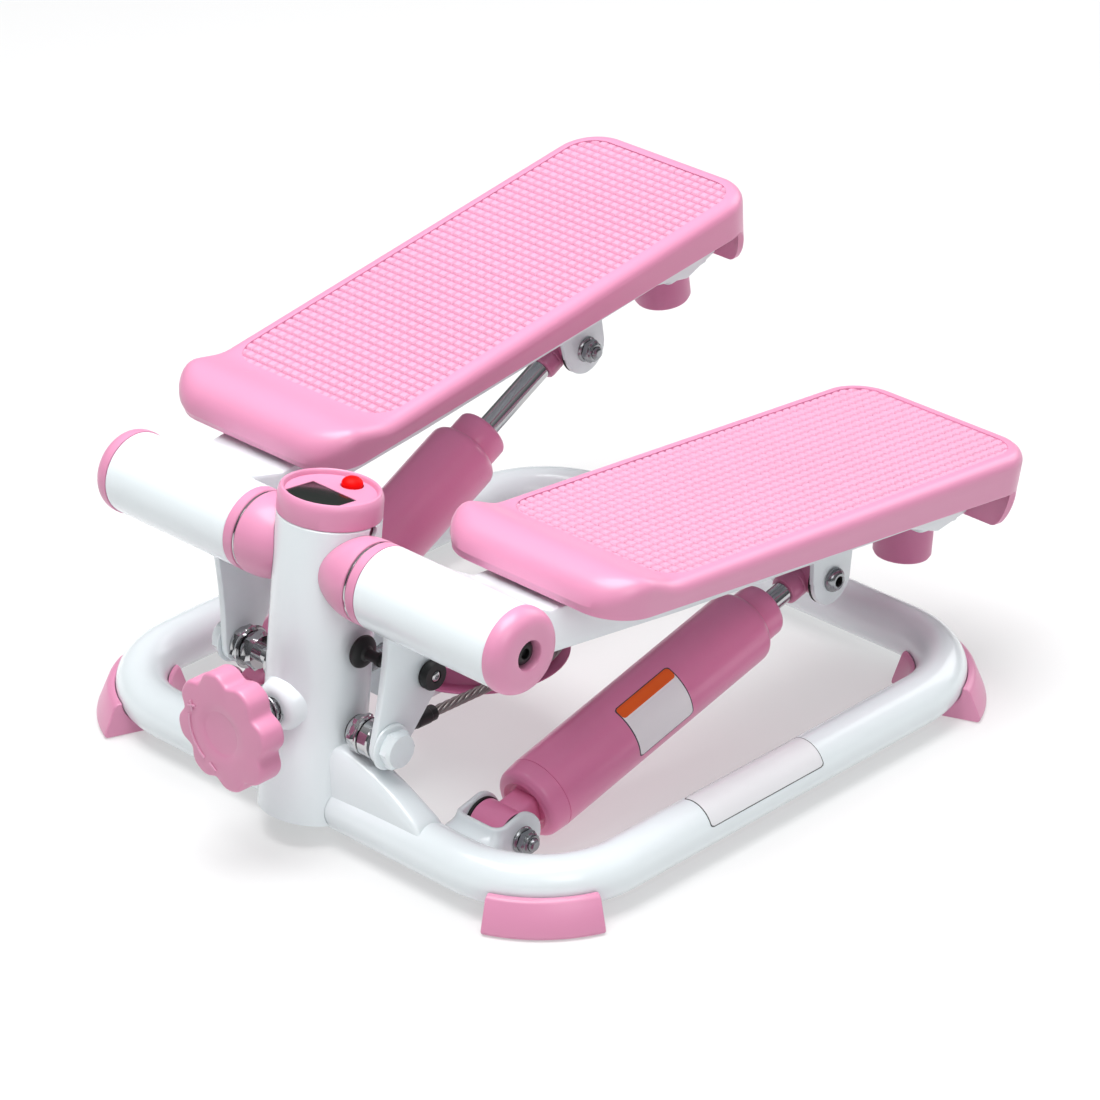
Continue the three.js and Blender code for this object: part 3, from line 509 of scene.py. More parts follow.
def hexagon(solid, across, turn, low, high, chamfer=0.9):
    """A six-sided nut or head, its corners chamfered at both ends."""
    sides, rings = 48, []
    corner, end = across / 2 / math.cos(math.pi / 6), across / 2 - 0.6
    for cap, along in ((end, low), (corner, low + chamfer), (corner, high - chamfer), (end, high)):
        ring = []
        for i in range(sides):
            a = 2 * math.pi * i / sides
            flat = (a + math.pi / 6) % (math.pi / 3) - math.pi / 6
            r = min(across / 2 / math.cos(flat), cap)
            ring.append(turn @ Vector((r * math.cos(a), r * math.sin(a), along)))
        rings.append(ring)
    solid.loft(rings)


def ear_bolt(name, body, place, node):
    """A socket-head bolt through a pair of ears, with a washer and a lock nut on its other end."""
    face = EAR_IN + EAR_T + 0.15
    back = -face
    solid = Solid()
    solid.lathe(slid(face, [(0, 1.6), (2.9, 1.6), (3.1, 4.6), (3.5, 4.9), (4.6, 4.8), (5.8, 4.1), (6.8, 3),
                            (7.4, 1.6), (7.5, 0.4), (7.2, 0), (0, 0)]), TURN_X, 56)
    solid.lathe(slid(back, [(0, -10.4), (2.2, -10.4), (3.3, -9.9), (3.8, -9), (4, -8), (4, 2 * face),
                            (0, 2 * face)]), TURN_X, 48)
    solid.lathe(slid(back, [(4, 0), (7.6, 0), (7.9, -0.5), (7.4, -1.3), (6.6, -1.9), (4, -1.9)]), TURN_X, 56)
    hexagon(solid, 12.6, TURN_X, back - 6.8, back - 1.6, chamfer=1.1)
    solid.lathe(slid(back, [(4.1, -6.7), (5.9, -6.7), (5.7, -7.6), (5, -8.1), (4.1, -8.1)]), TURN_X, 48)
    solid.done(name, STEEL, body, place, [node], angle=24)
    # A black hexagonal cup lines the head's recess: the hex shape is real, its black is painted shade inside
    # the socket.
    recess = slid(face, [(0, 1.7), (2.7, 1.7), (2.8, 4.2), (3.1, 4.7), (3.2, 3), (3.2, 1.2), (0, 1.2)])
    Solid().lathe(recess, TURN_X, 6).done(f"{name}_socket", RUBBER, body, place)


def washers(name, body, place, radius):
    """Black plastic washers on both sides of an eye, filling the gap to the ears."""
    solid, low, high = Solid(), EYE_HALF + 0.1, EAR_IN - 0.15
    section = [(5.6, low), (radius - 0.4, low), (radius, low + 0.4), (radius, high - 0.35),
               (radius - 0.4, high), (5.6, high)]
    for side in (-1, 1):
        solid.lathe([(r, side * along) for r, along in section], TURN_X, 56)
    solid.done(name, RUBBER, body, place, angle=30)


def eye(solid, hole):
    """The round eye at an end of a cylinder."""
    half, soft = EYE_HALF, 0.6
    solid.lathe([(hole, -half), (EYE_R - soft, -half), (EYE_R, soft - half), (EYE_R, half - soft),
                 (EYE_R - soft, half), (hole, half)], TURN_X, 64)


# ---- knob, screw, spring ----
def knob():
    """A scalloped hand wheel with a shallow dish on its face."""
    sides, thick = 24 * KNOB_LOBES, KNOB_BACK - KNOB_FRONT
    angles = [2 * math.pi * i / sides for i in range(sides)]

    def ring(radius_at, along):
        return [Vector((radius_at(a) * math.cos(a + KNOB_TURN), -along,
                        radius_at(a) * math.sin(a + KNOB_TURN))) for a in angles]

    def lobed(inset):
        return lambda a: KNOB_R + KNOB_WAVE * 1.05 * (
            math.cos(KNOB_LOBES * a) - 0.22 * math.cos(2 * KNOB_LOBES * a) - 0.78) - inset

    def plain(radius):
        return lambda a: radius

    rim = ((2.0, 0.0), (0.9, 0.3), (0.2, 1.0), (0, 2.0), (0, thick - 2.2), (0.35, thick - 1.0),
           (1.1, thick - 0.25), (2.2, thick))
    dish = ((0.55, 0), (0.40, 0), (0.385, 0.35), (0.36, 0.7), (0.34, 0.8), (0.01, 0.9))
    rings = [ring(plain(0.01), 0)] + [ring(lobed(inset), along) for inset, along in rim]
    rings += [ring(plain(KNOB_R * share), thick - deep) for share, deep in dish]
    Solid().loft(rings).done(
        "height_knob_grip", KNOB_PINK, "knob", at(0, KNOB_BACK, KNOB_Z), ["height_knob"], angle=50)


def knob_marks():
    """A raised plus, minus and arc on the knob's face."""
    solid, radius = Solid(), 0.65
    y = KNOB_FRONT - KNOB_BACK - 0.3
    for cx, cz, turns in ((-22.5, 9, (12, 102)), (-7, -23.5, (-38,))):
        for turn in turns:
            half = Vector((cosd(turn), 0, sind(turn))) * 3
            solid.tube([Vector((cx, y, cz)) - half, Vector((cx, y, cz)) + half], radius, 8)
    solid.tube([Vector((x, y, z)) for x, z in oval(0, 0, 24.5, 24.5, range(172, 240, 4))], radius, 8)
    solid.done("height_knob_marks", TREAD, "knob", at(0, KNOB_BACK, KNOB_Z), angle=60)


def screw_and_spring():
    place = at(0, 0, KNOB_Z)
    start, end = KNOB_BACK - 9.6, SCREW_END
    profile = [(0, start), (5, start)] + thread(SCREW_R, start + 0.5, end - 1, SCREW_PITCH, 0.8)
    Solid().lathe(profile + [(4.6, end), (0, end)], TURN_Y, 32).done(
        "knob_screw_thread", STEEL, "knob", place, ["knob_screw"], angle=20)
    turns, radius, length = 6, 8.4, 20
    steps = 24 * turns
    path = [Vector((radius * cosd(360 * turns * i / steps), KNOB_BACK + 1.4 + length * i / steps,
                    radius * sind(360 * turns * i / steps))) for i in range(steps + 1)]
    Solid().tube(path, 1.0, 10).done("knob_spring_coil", STEEL, "frame", place, ["knob_spring"], angle=60)
    mound = [(6.6, 0), (9.3, 0), (11.6, 0.6), (13.5, 2.2), (14.9, 4.8), (16, 7.8), (17.6, 11),
             (20, 14.4), (21, 19.6), (6.6, 19.6)]
    boss = raw(Solid().lathe(slid(BOSS_Y, mound), TURN_Y), "knob_boss_weld", place)
    carved(boss, post_tool(-0.6))
    settled(boss, WHITE, "frame", ["knob_boss"], angle=40)


# ---- pulley and rope ----
def pulley():
    """A flanged wheel whose groove is wide enough for the rope at the pedals' limits."""
    place = at(0, PULLEY_Y, PULLEY_Z)
    groove = ROPE_X - ROPE_R - 0.4
    web = [(5.4, -9.5), (18, -9.5), (20, -8.6), (22, -5.2), (36, -5.2), (39, -8), (40, -8.6),
           (53.6, -8.6), (PULLEY_R, -8.1), (PULLEY_R, -7.3), (groove + 3, -6.9)]
    bottom = oval(groove + 0.9, 0, -0.9, 7, range(-70, 71, 14))
    profile = web + bottom + [(r, -z) for r, z in reversed(web)]
    Solid().lathe(profile, UPRIGHT, 96).done(
        "rope_pulley_wheel", MAUVE_PLASTIC, "pulley", place, ["rope_pulley"], angle=30)
    axle = Solid()
    axle.lathe([(0, -17.5), (5, -17.5), (5, 13.8), (0, 13.8)], UPRIGHT, 40)
    axle.lathe([(0, 13.6), (8, 13.6), (8, 14.6), (7.2, 15.6), (0, 15.6)], UPRIGHT, 48)
    hexagon(axle, 13.6, UPRIGHT, -19, -14.3)
    axle.done("pulley_axle_bolt", STEEL, "carriage", place, ["pulley_axle"], angle=28)


def yoke():
    z, end, web = PULLEY_Z, PULLEY_Y + 12, YOKE_FRONT + YOKE_T
    outline = [(YOKE_FRONT, z - 14), (end, z - 14), (end, z - 11), (web, z - 11), (web, z + 11),
               (end, z + 11), (end, z + 13.5), (web, z + 13.5), (web, KNOB_Z + 14),
               (YOKE_FRONT, KNOB_Z + 14)]
    plate = raw(Solid().prism(outline, SIDEWAYS, -16, 16, edge=0.01), "pulley_yoke_plate", ORIGIN)
    carved(plate,
           lathe_tool(5.3, UPRIGHT, z - 30, z + 30, at(0, PULLEY_Y, 0)),
           lathe_tool(SCREW_R + 0.5, TURN_Y, YOKE_FRONT - 5, YOKE_FRONT + 22, at(0, 0, KNOB_Z)))
    settled(plate, WHITE, "carriage", ["pulley_yoke"], angle=30, bevel=0.7)


def strands(route, length, body, name, replaces):
    """Six wires laid round a core that follows route(share run) -> (point, side, up)."""
    solid = Solid()
    turns = length / ROPE_LAY
    wires, steps = 6, 10 * max(6, round(turns * 6))
    lay, wire = ROPE_R * 0.62, ROPE_R * 0.39
    for k in range(wires):
        path = []
        for i in range(steps + 1):
            s = i / steps
            point, side, up = route(s)
            a = 2 * math.pi * (turns * s + k / wires)
            path.append(point + side * lay * math.cos(a) + up * lay * math.sin(a))
        solid.tube(path, wire, 8)
    solid.tube([route(i / 40)[0] for i in range(41)], ROPE_R * 0.42, 8)
    solid.done(name, ROPE, body, ORIGIN, replaces, angle=60)


def rope_wrap():
    """Half a turn round the pulley, with a straight lead on either side."""
    half_turn = math.pi * ROPE_X
    length = half_turn + 2 * ROPE_LEAD
    up = Vector((0, 0, 1))

    def wrap(s):
        distance = s * length - ROPE_LEAD
        turned = min(max(distance, 0), half_turn)
        a = turned / ROPE_X
        out, ahead = Vector((math.cos(a), math.sin(a), 0)), Vector((-math.sin(a), math.cos(a), 0))
        return Vector((0, PULLEY_Y, PULLEY_Z)) + out * ROPE_X + ahead * (distance - turned), out, up

    strands(wrap, length, "carriage", "rope_round_pulley", ["rope_wrap"])


def rope_run(name, side):
    """The straight run from the lever's bolt to the pulley, with the eye and sleeve at its end."""
    y, z = pedal_point(name, LEVER_U, LEVER_V)
    reach = math.hypot(PULLEY_Y - y, PULLEY_Z - z)
    along = Vector((0, (PULLEY_Y - y) / reach, (PULLEY_Z - z) / reach))
    start = Vector((side * ROPE_X, y, z))
    across = Vector((1, 0, 0))
    up = across.cross(along)
    first = ROPE_EYE_LEN - 6
    length = reach - first
    body = f"{name}_rope"

    def run(s):
        return start + along * (first + length * s), across, up

    strands(run, length, body, f"rope_run_{name}_strands", [f"rope_run_{name}"])
    place = aimed(side * ROPE_X, y, z, PULLEY_Y, PULLEY_Z)
    ring = [(5.7, -3.8), (10.2, -3.8), (11, -3), (11, 3), (10.2, 3.8), (5.7, 3.8)]
    Solid().lathe(ring, TURN_X, 56).done(f"rope_end_{name}_eye", CHROME, body, place)
    end = ROPE_EYE_LEN
    sleeve = [(0, 9.5), (3.8, 9.5), (4.4, 11), (4.6, 14), (4.6, 30), (4.9, 30.4), (4.9, end - 5),
              (4.6, end - 4.6), (4.6, end - 0.6), (4.2, end), (0, end)]
    Solid().lathe(sleeve, TURN_Y, 32).done(
        f"rope_end_{name}_sleeve", RUBBER, body, place, [f"rope_end_{name}"])


# ---- cylinder feet and cylinders ----
def foot_brackets():
    """A bent plate: a web that runs down into the frame tube, and a rounded cheek on each side."""
    round_end, bend, half, web = 14.5, 6, EAR_IN + EAR_T / 2, -FRAME_HALF_Y + 26
    middle, foot, crest = FOOT_PIN_Z + 1, FRAME_Z - 8, FRAME_Z + 10.4
    stations = []                      # x, y, the plate's outward direction, flare, top, low
    for a in (8, 16, 25, 35, 46, 58, 70, 80, 90):
        rise = round_end * sind(a)
        stations.append((half, FOOT_PIN_Y + round_end * cosd(a), 1, 0, 0, middle + rise, middle - rise))
    for a in range(0, 91, 15):
        c, s = cosd(a), sind(a)
        stations.append((half - bend + bend * c, web + bend - bend * s, c, -s, s * s, crest, foot))
    stations += [(-x, y, -nx, ny, flare, top, low) for x, y, nx, ny, flare, top, low in reversed(stations)]
    inner, outer = -EAR_T / 2, EAR_T / 2
    section = (                        # out across the plate, further out per flare, share of its height
        (inner, 0, 0), (inner, 0, 0.96), (inner + 0.8, 0, 1), (outer - 0.8, 0, 1), (outer, 0, 0.965),
        (outer, 0.8, 0.9), (outer, 2.6, 0.8), (outer, 6.4, 0.68), (outer, 11, 0.58), (outer, 11.5, 0))
    rings = []
    for x, y, nx, ny, flare, top, low in stations:
        rings.append([Vector((CYL_X + x + nx * (out + flare * run), y + ny * (out + flare * run),
                              low + (top - low) * share)) for out, run, share in section])
    for name, side in SIDES:
        Solid().loft(rings).done(
            f"foot_bracket_{name}_plate", WHITE, "frame", sided(side), [f"foot_bracket_{name}"], angle=50)
        pin = sided(side) @ at(CYL_X, FOOT_PIN_Y, FOOT_PIN_Z) @ MIRROR
        ear_bolt(f"foot_bolt_{name}_set", "frame", pin, f"foot_bolt_{name}")


def cylinder(name, side):
    """The barrel with its lower eye, the bright rod, and the rod's end on the pedal's ears."""
    y, z = pedal_point(name, EAR_U, EAR_V)
    length = math.hypot(y - FOOT_PIN_Y, z - FOOT_PIN_Z)
    place = aimed(side * CYL_X, FOOT_PIN_Y, FOOT_PIN_Z, y, z)
    low, high = f"{name}_cylinder", f"{name}_rod"
    bottom = [(0, 23), (12.6, 23), (13.4, 22.6), (14.4, 21.2), (15.6, 20.5), (17.2, 21)]
    bottom += oval(17.2, 25.6, 4.6, 4.6, range(-80, 1, 16))
    groove = [(22.2, 30), (22.4, 33.4), (22.0, 33.6), (22.0, 34.0), (BODY_R, 34.2)]
    shoulder = [(BODY_R, 197)] + oval(BODY_R - 6.1, 200, 6.1, 7, range(10, 91, 16))
    collar = [(16.2, 207.4), (16, 208.2), (16.2, 209), (16.4, 210)]
    collar += oval(13, COLLAR_TOP - 3.4, 3.4, 3.4, range(0, 91, 15))
    bore = [(ROD_R + 0.9, COLLAR_TOP), (ROD_R + 0.25, COLLAR_TOP - 0.8), (ROD_R + 0.25, 58), (0, 58)]
    barrel = Solid()
    barrel.lathe(bottom + groove + shoulder + collar + bore, TURN_Y, 88)
    barrel.prism(rounded_rect(-8.6, 8.6, -9, 9, 3, 5), TURN_Y, 6, 23, edge=0.2)
    eye(barrel, BOLT_R + 0.4)
    # The barrel takes the lightened mauve, painted light for the shade under the pedal.
    barrel.done(f"cylinder_body_{name}_painted", MAUVE, low, place, [f"cylinder_body_{name}"], angle=32)
    washers(f"cylinder_washers_{name}", low, place, 13.6)
    rod_end = length - ROD_END - 0.3
    rod = [(0, length - ROD_IN), (ROD_R, length - ROD_IN), (ROD_R, rod_end), (0, rod_end)]
    Solid().lathe(rod, TURN_Y, 64).done(
        f"piston_rod_{name}_bar", CHROME, high, place, [f"piston_rod_{name}"])
    seal = [(ROD_R + 0.3, -0.5), (9.6, -0.5), (9.6, 0.9), (8.8, 1.6), (ROD_R + 0.3, 1.6)]
    Solid().lathe(slid(COLLAR_TOP, seal), TURN_Y, 56).done(f"cylinder_seal_{name}", RUBBER, low, place)
    end = Solid()
    eye(end, EYE_HOLE)
    neck = [(0, -ROD_END), (7.6, -ROD_END), (8.6, -ROD_END + 0.8), (9, -ROD_END + 2.2), (9, -16),
            (8.6, -15.6), (8.6, -15), (9, -14.6), (9, -11), (0, -11)]
    end.lathe(neck, TURN_Y, 56)
    top = place @ at(0, length, 0)
    end.done(f"rod_end_{name}_eye", EYE_MAUVE, high, top, [f"rod_end_{name}"], angle=32)
    washers(f"rod_end_washers_{name}", high, top, 16)


# ---- blank stickers ----
def sticker(name, body, place, radius, lengthwise, around, material, lift):
    """A thin sheet with rounded corners wrapped on a round bar; around is in degrees."""
    steps, corner = 40, 2.2
    (low, high), (start, end) = lengthwise, around
    width = math.radians(end - start) * radius
    rings = []
    for i in range(steps + 1):
        along = width * i / steps
        short = max(0, corner - min(along, width - along))
        trim = corner - math.sqrt(max(0, corner * corner - short * short))
        a = math.radians(start) + along / radius
        section = ((radius + lift, low + trim), (radius + lift, high - trim),
                   (radius - 0.5, high - trim), (radius - 0.5, low + trim))
        rings.append([TURN_Y @ Vector((r * math.cos(a), r * math.sin(a), z)) for r, z in section])
    Solid().loft(rings).done(name, material, body, place, angle=30)


def labels():
    """Stickers without lettering, one on the left cylinder and one on the frame tube's left side."""
    y, z = pedal_point("left", EAR_U, EAR_V)
    place = aimed(CYL_X, FOOT_PIN_Y, FOOT_PIN_Z, y, z)
    # On the cylinder the sheet and band take the lightened colours, painted light for its shaded side.
    for part, material, margin, lift, end in (
            ("edge", LABEL_EDGE, 0, 0.10, 16), ("sheet", LABEL_WITH_PAINTED_LIGHT, 0.7, 0.16, 16),
            ("band", LABEL_BAND, 0.7, 0.22, -50)):
        turn = math.degrees(margin / BODY_R)
        sticker(f"cylinder_label_{part}", "left_cylinder", place, BODY_R, (91 + margin, 136 - margin),
                (-72 + turn, end - turn), material, lift)
    bar = at(FRAME_HALF_X, 0, FRAME_Z)
    for part, material, margin, lift in (("edge", LABEL_EDGE, 0, 0.10), ("sheet", LABEL, 0.6, 0.16)):
        turn = math.degrees(margin / FRAME_R)
        sticker(f"frame_label_{part}", "frame", bar, FRAME_R, (-68 + margin, 26 - margin),
                (-116 + turn, -14 - turn), material, lift)


# ---- pedals ----
def tread_height(u):
    """The toe ridge is level for a while and then falls smoothly to the tread."""
    level, foot = 18, 54
    d = u - PEDAL_FRONT
    if d < level:
        return TREAD_V + TOE
    if d > foot:
        return TREAD_V
    return TREAD_V + TOE * (0.5 + 0.5 * math.cos(math.pi * (d - level) / (foot - level)))


def underside(u, rearward):
    """Height of the lower edge; it hangs lower where the wall faces the rear."""
    share = (u - PEDAL_FRONT) / (PEDAL_REAR - PEDAL_FRONT)
    hang = max(0.0, rearward - 0.35) / 0.65
    return SKIRT_TOE + (SKIRT_REAR - SKIRT_TOE) * share - REAR_LIP * hang ** 2.2


def plan(inset):
    """The pedal's outline at an inset, the same number of points at any inset."""
    bends = corners(PEDAL_IN + inset, PEDAL_OUT - inset, PEDAL_FRONT + inset, PEDAL_REAR - inset,
                    max(0.01, 28 - inset), 22)
    points = []
    for before, bend, count in zip(bends[-1:] + bends, bends, (14, 70, 14, 70)):
        (ax, ay), (bx, by) = before[-1], bend[0]
        points += [(ax + (bx - ax) * i / count, ay + (by - ay) * i / count) for i in range(count)]
        points += bend[:-1]
    return points


def pedal_shell(name, side):
    """A thin moulding, lofted from its lower edge over the side to the top, and back up inside."""
    outer, inner = plan(0), plan(6)
    count, draft = len(outer), 1.6
    top = [tread_height(y) for _, y in outer]
    bend, low = [], []                 # rounding of the upper edge and height of the lower edge
    for (x, y), (ix, iy) in zip(outer, inner):
        facing = (iy - y) / max(math.hypot(ix - x, iy - y), 1e-6)
        bend.append(EDGE + 10 * max(0.0, facing) ** 1.5)
        low.append(underside(y, -facing))

    def level(insets, height_of):
        ring, plans = [], {}
        for i, inset in enumerate(insets):
            key = round(inset, 3)
            if key not in plans:
                plans[key] = plan(inset)
            x, y = plans[key][i]
            ring.append(Vector((x, y, height_of(i, y))))
        return ring

    rings = [level([SHELL_T + draft] * count, lambda i, y: low[i]),
             level([draft + 0.6] * count, lambda i, y: low[i]),
             level([draft] * count, lambda i, y: low[i] + 0.7)]
    for share in (0.0, 0.34, 0.67, 1.0):
        rings.append(level([draft * (1 - share)] * count, lambda i, y: (
            (low[i] + 1.5) * (1 - share) + (top[i] - bend[i]) * share)))
    for a in range(15, 91, 15):
        rings.append(level([r * (1 - cosd(a)) for r in bend],
                           lambda i, y: tread_height(y) - bend[i] * (1 - sind(a))))
    depth, steps = (PEDAL_OUT - PEDAL_IN) / 2 - 0.6, 24
    for k in range(1, steps + 1):
        rings.append(level([r + (depth - r) * k / steps for r in bend], lambda i, y: tread_height(y)))
    inside = [level([SHELL_T + draft + 0.2] * count, lambda i, y: (
                  tread_height(min(max(y, PEDAL_FRONT + 48), PEDAL_REAR)) - SHELL_T - 1)),
              level([SHELL_T + draft + 2] * count, lambda i, y: TREAD_V - SHELL_T)]
    place = pedal_place(name) @ sided(side)
    shell = raw(Solid().loft(inside[::-1] + rings), f"pedal_shell_{name}_moulding", place)
    panel = rounded_rect(PEDAL_IN + 9, PEDAL_OUT - 9, PEDAL_FRONT + 48, PEDAL_REAR - 10, 18.5, 14)
    carved(shell, prism_tool(panel, UPRIGHT, TREAD_V - PANEL_DEPTH, TREAD_V + 12, place))
    settled(shell, PINK, f"{name}_pedal", [f"pedal_shell_{name}"], angle=28)


def pedal_tread(name, side):
    """Rows of small raised blocks over the whole panel; those at its border run under the rim."""
    x0, x1, y0, y1, r = PEDAL_IN + 8, PEDAL_OUT - 8, PEDAL_FRONT + 47, PEDAL_REAR - 9, 19.5
    pitch, foot, crown = 6.3, (2.85, 2.6), (2.0, 1.75)
    floor, rise = TREAD_V - PANEL_DEPTH - 0.05, 1.35
    solid = Solid()
    columns, rows = round((x1 - x0) / pitch), round((y1 - y0) / pitch)
    for i in range(columns):
        for j in range(rows):
            cx, cy = x0 + (i + 0.5) * (x1 - x0) / columns, y0 + (j + 0.5) * (y1 - y0) / rows
            if math.hypot(max(x0 + r - cx, 0, cx - x1 + r), max(y0 + r - cy, 0, cy - y1 + r)) > r:
                continue
            solid.loft([[Vector((cx + sx * hx, cy + sy * hy, z)) for sx, sy in SQUARE]
                        for (hx, hy), z in ((foot, floor), (foot, floor + 0.4), (crown, floor + rise))])
    solid.done(f"pedal_tread_{name}", TREAD, f"{name}_pedal", pedal_place(name) @ sided(side), angle=20)


def pedal_arm(name, side):
    """The channel under the pedal, the ears for the cylinder, and the rubber bumper at its end."""
    body, place = f"{name}_pedal", pedal_place(name) @ sided(side)
    outline = [(16, -21), (60, -23), (150, -27), (350, -31), (376, -39), (402, -33), (398, ARM_TOP),
               (76, ARM_TOP), (62, 4), (44, 4), (26, 12), (8, 21)]
    ceiling = ARM_TOP - ARM_T
    inner = [(-40, -60), (395.5, -60), (395.5, ceiling), (78, ceiling), (64, 1), (40, 1), (24, 6),
             (-40, 14)]
    arm = raw(Solid().prism(outline, SIDEWAYS, ARM_IN, ARM_OUT, edge=2.2), f"pedal_arm_{name}_channel", place)
    carved(arm,
           prism_tool(inner, SIDEWAYS, ARM_IN + ARM_T, ARM_OUT - ARM_T, place),
           lathe_tool(TUBE_R - 0.5, TURN_X, 0, 170, place, 64))
    settled(arm, WHITE, body, [f"pedal_arm_{name}"], angle=30)
    ears = Solid()
    ear = [(EAR_U - 17, EAR_V)] + arc(EAR_U, EAR_V, 16, 180, 360, 24)
    ear += [(EAR_U + 16, ARM_TOP - 3), (EAR_U - 24, ARM_TOP - 3)]
    for x in (CYL_X - EAR_IN - EAR_T, CYL_X + EAR_IN):
        ears.prism(ear, SIDEWAYS, x, x + EAR_T)
    seat = rounded_rect(ARM_IN + 1, ARM_OUT - 1, 360, 395.2, 3, 4)
    ears.prism(seat, UPRIGHT, -36, -33, edge=0.4)
    ears.done(f"pedal_ears_{name}", WHITE, body, place)
    ear_bolt(f"ear_bolt_{name}_set", body, place @ at(CYL_X, EAR_U, EAR_V), f"ear_bolt_{name}")
    foot = [(0, -65), (14, -65), (16.4, -64.3), (17.5, -62.4), (17.5, -40), (17.2, -36.3), (0, -36.3)]
    Solid().lathe(foot, UPRIGHT, 64).done(
        f"rear_bumper_{name}_rubber", MAUVE_PLASTIC, body, place @ at(CYL_X, BUMPER_U, 0),
        [f"rear_bumper_{name}"])


def pivot_tube(name, side):
    """The tube the pedal turns on, its inner collar, the end cap and the screw seen in its hole."""
    body, place, sides = f"{name}_pedal", pedal_place(name) @ sided(side), 88
    collar, r = TUBE_IN + 6.6, TUBE_R
    tube = [(r - 2.5, collar), (r - 0.3, collar), (r, collar + 0.3), (r, TUBE_OUT - 0.3),
            (r - 0.3, TUBE_OUT), (r - 2.5, TUBE_OUT)]
    Solid().lathe(tube, TURN_X, sides).done(
        f"pivot_tube_{name}_painted", WHITE, body, place, [f"pivot_tube_{name}"])
    ring = [(8.6, TUBE_IN), (23.4, TUBE_IN), (r, TUBE_IN + 0.5), (r, collar - 0.3), (8.6, collar - 0.3)]
    Solid().lathe(ring, TURN_X, sides).done(f"pivot_collar_{name}", PINK, body, place)
    x = TUBE_OUT + 0.2
    cap = [(8.3, x - 10), (21.2, x - 10), (21.2, x), (r + 0.3, x), (r + 0.6, x + 0.3), (r + 0.6, x + 2.2)]
    cap += oval(r - 8.4, x + 2.4, 9, 9.2, range(8, 91, 8))
    cap += [(10, CAP_OUT), (8.8, CAP_OUT - 0.4), (8.3, CAP_OUT - 1.4)]
    Solid().lathe(cap, TURN_X, sides).done(
        f"end_cap_{name}_moulding", PINK, body, place, [f"end_cap_{name}"], angle=40)
    screw = [(0, 150.3), (7.4, 150.3), (7.4, 153), (6.9, 155), (5.6, 156.2), (3.4, 156.6), (3, 156.4),
             (3, 154), (0, 154)]
    Solid().lathe(screw, TURN_X, 48).done(
        f"end_screw_{name}_head", RUBBER, "frame", AXLE @ sided(side), [f"end_screw_{name}"])


def lever_plate(name, place):
    """The plate that hangs from the pivot tube, with a bead of weld on each of its faces."""
    inner, body = LEVER_X[name], f"{name}_pedal"
    outline = bowed((-5, -19), (-3.4, -50), (LEVER_U - 11.2, LEVER_V + 4))
    outline += arc(LEVER_U + 1, LEVER_V, 12.5, 166, 328, 24)
    outline += bowed((39, -62), (41, -44), (28, -30)) + [(19, -16)]
    Solid().prism(outline, SIDEWAYS, inner, inner + LEVER_T, edge=1.3).done(
        f"lever_plate_{name}_painted", WHITE, body, place, [f"lever_plate_{name}"])
    weld, r = Solid(), TUBE_R + 0.4
    for x in (inner, inner + LEVER_T):
        weld.tube([Vector((x, y, z)) for y, z in oval(0, 0, r, r, range(-102, -40, 3))],
                  lambda s: 1.9 + 0.25 * math.sin(60 * s), 10)
    weld.done(f"lever_weld_{name}", WHITE, body, place, angle=60)


def lever_bolt(name, place):
    """A painted head outside, a bright shank with its nuts inside; the far lever has two nuts more."""
    inner, body, end = LEVER_X[name], f"{name}_pedal", 34.5
    face, far = inner + LEVER_T + 0.2, inner > ROPE_X + 20
    head = Solid()
    head.lathe(slid(face, [(5, 0), (13.2, 0), (13.6, 0.5), (13.2, 1.6), (11.4, 2.2), (5, 2.2)]), TURN_X, 64)
    hexagon(head, 20, TURN_X, face + 1.4, face + 9.4, chamfer=1.8)
    head.done(f"lever_bolt_head_{name}", WHITE, body, place, angle=30)
    shank = Solid()
    shank.lathe([(0, end), (4.4, end), (5.6, end + 1)] + thread(5.8, end + 1.1, 44, 1.25, 0.3)
                + [(5.8, face), (0, face)], TURN_X, 56)
    shank.lathe([(5.8, 43.5), (11.2, 43.5), (11.5, 44), (11.5, 44.8), (11.2, 45.3), (5.8, 45.3)],
                TURN_X, 64)
    hexagon(shank, 20, TURN_X, 36, 43.4, chamfer=2.4)
    if far:
        hexagon(shank, 21, TURN_X, inner - 7, inner - 0.2, chamfer=2.4)
        washer = [(5.8, -8.6), (12.6, -8.6), (13, -8), (12.6, -7.1), (5.8, -7.1)]
        shank.lathe(slid(inner, washer), TURN_X, 64)
        hexagon(shank, 21, TURN_X, inner - 17.4, inner - 9.2, chamfer=2.4)
    shank.done(f"lever_bolt_{name}_shank", CHROME, body, place, [f"lever_bolt_{name}"], angle=24)
    gap = inner - 8.8 if far else 35.6
    lock = [(5.9, -0.5), (9.2, -0.5), (9.2, 0.5), (5.9, 0.5)]
    Solid().lathe(slid(gap, lock), TURN_X, 56).done(f"lever_lock_ring_{name}", RUBBER, body, place)


def lever_stop(name, place):
    """A rubber disc on the lever's outer face, held by a screw."""
    face, body = LEVER_X[name] + LEVER_T + 0.2, f"{name}_pedal"
    disc = [(0, -9.2), (2.4, -9.2), (2.4, 0), (8, 0), (8.6, 0.8), (8.6, 4.6), (7.9, 5.6), (3.6, 5.8),
            (3.4, 4.6), (0, 4.6)]
    Solid().lathe(slid(face, disc), TURN_X, 56).done(
        f"stop_rubber_{name}_disc", RUBBER, body, place, [f"stop_rubber_{name}"])
    screw = [(0, 4.7), (3.1, 4.7), (2.9, 5.6), (1.9, 6.2), (1.5, 6.2), (1.4, 5.2), (0, 5.2)]
    Solid().lathe(slid(face, screw), TURN_X, 32).done(f"stop_screw_{name}", CHROME, body, place)


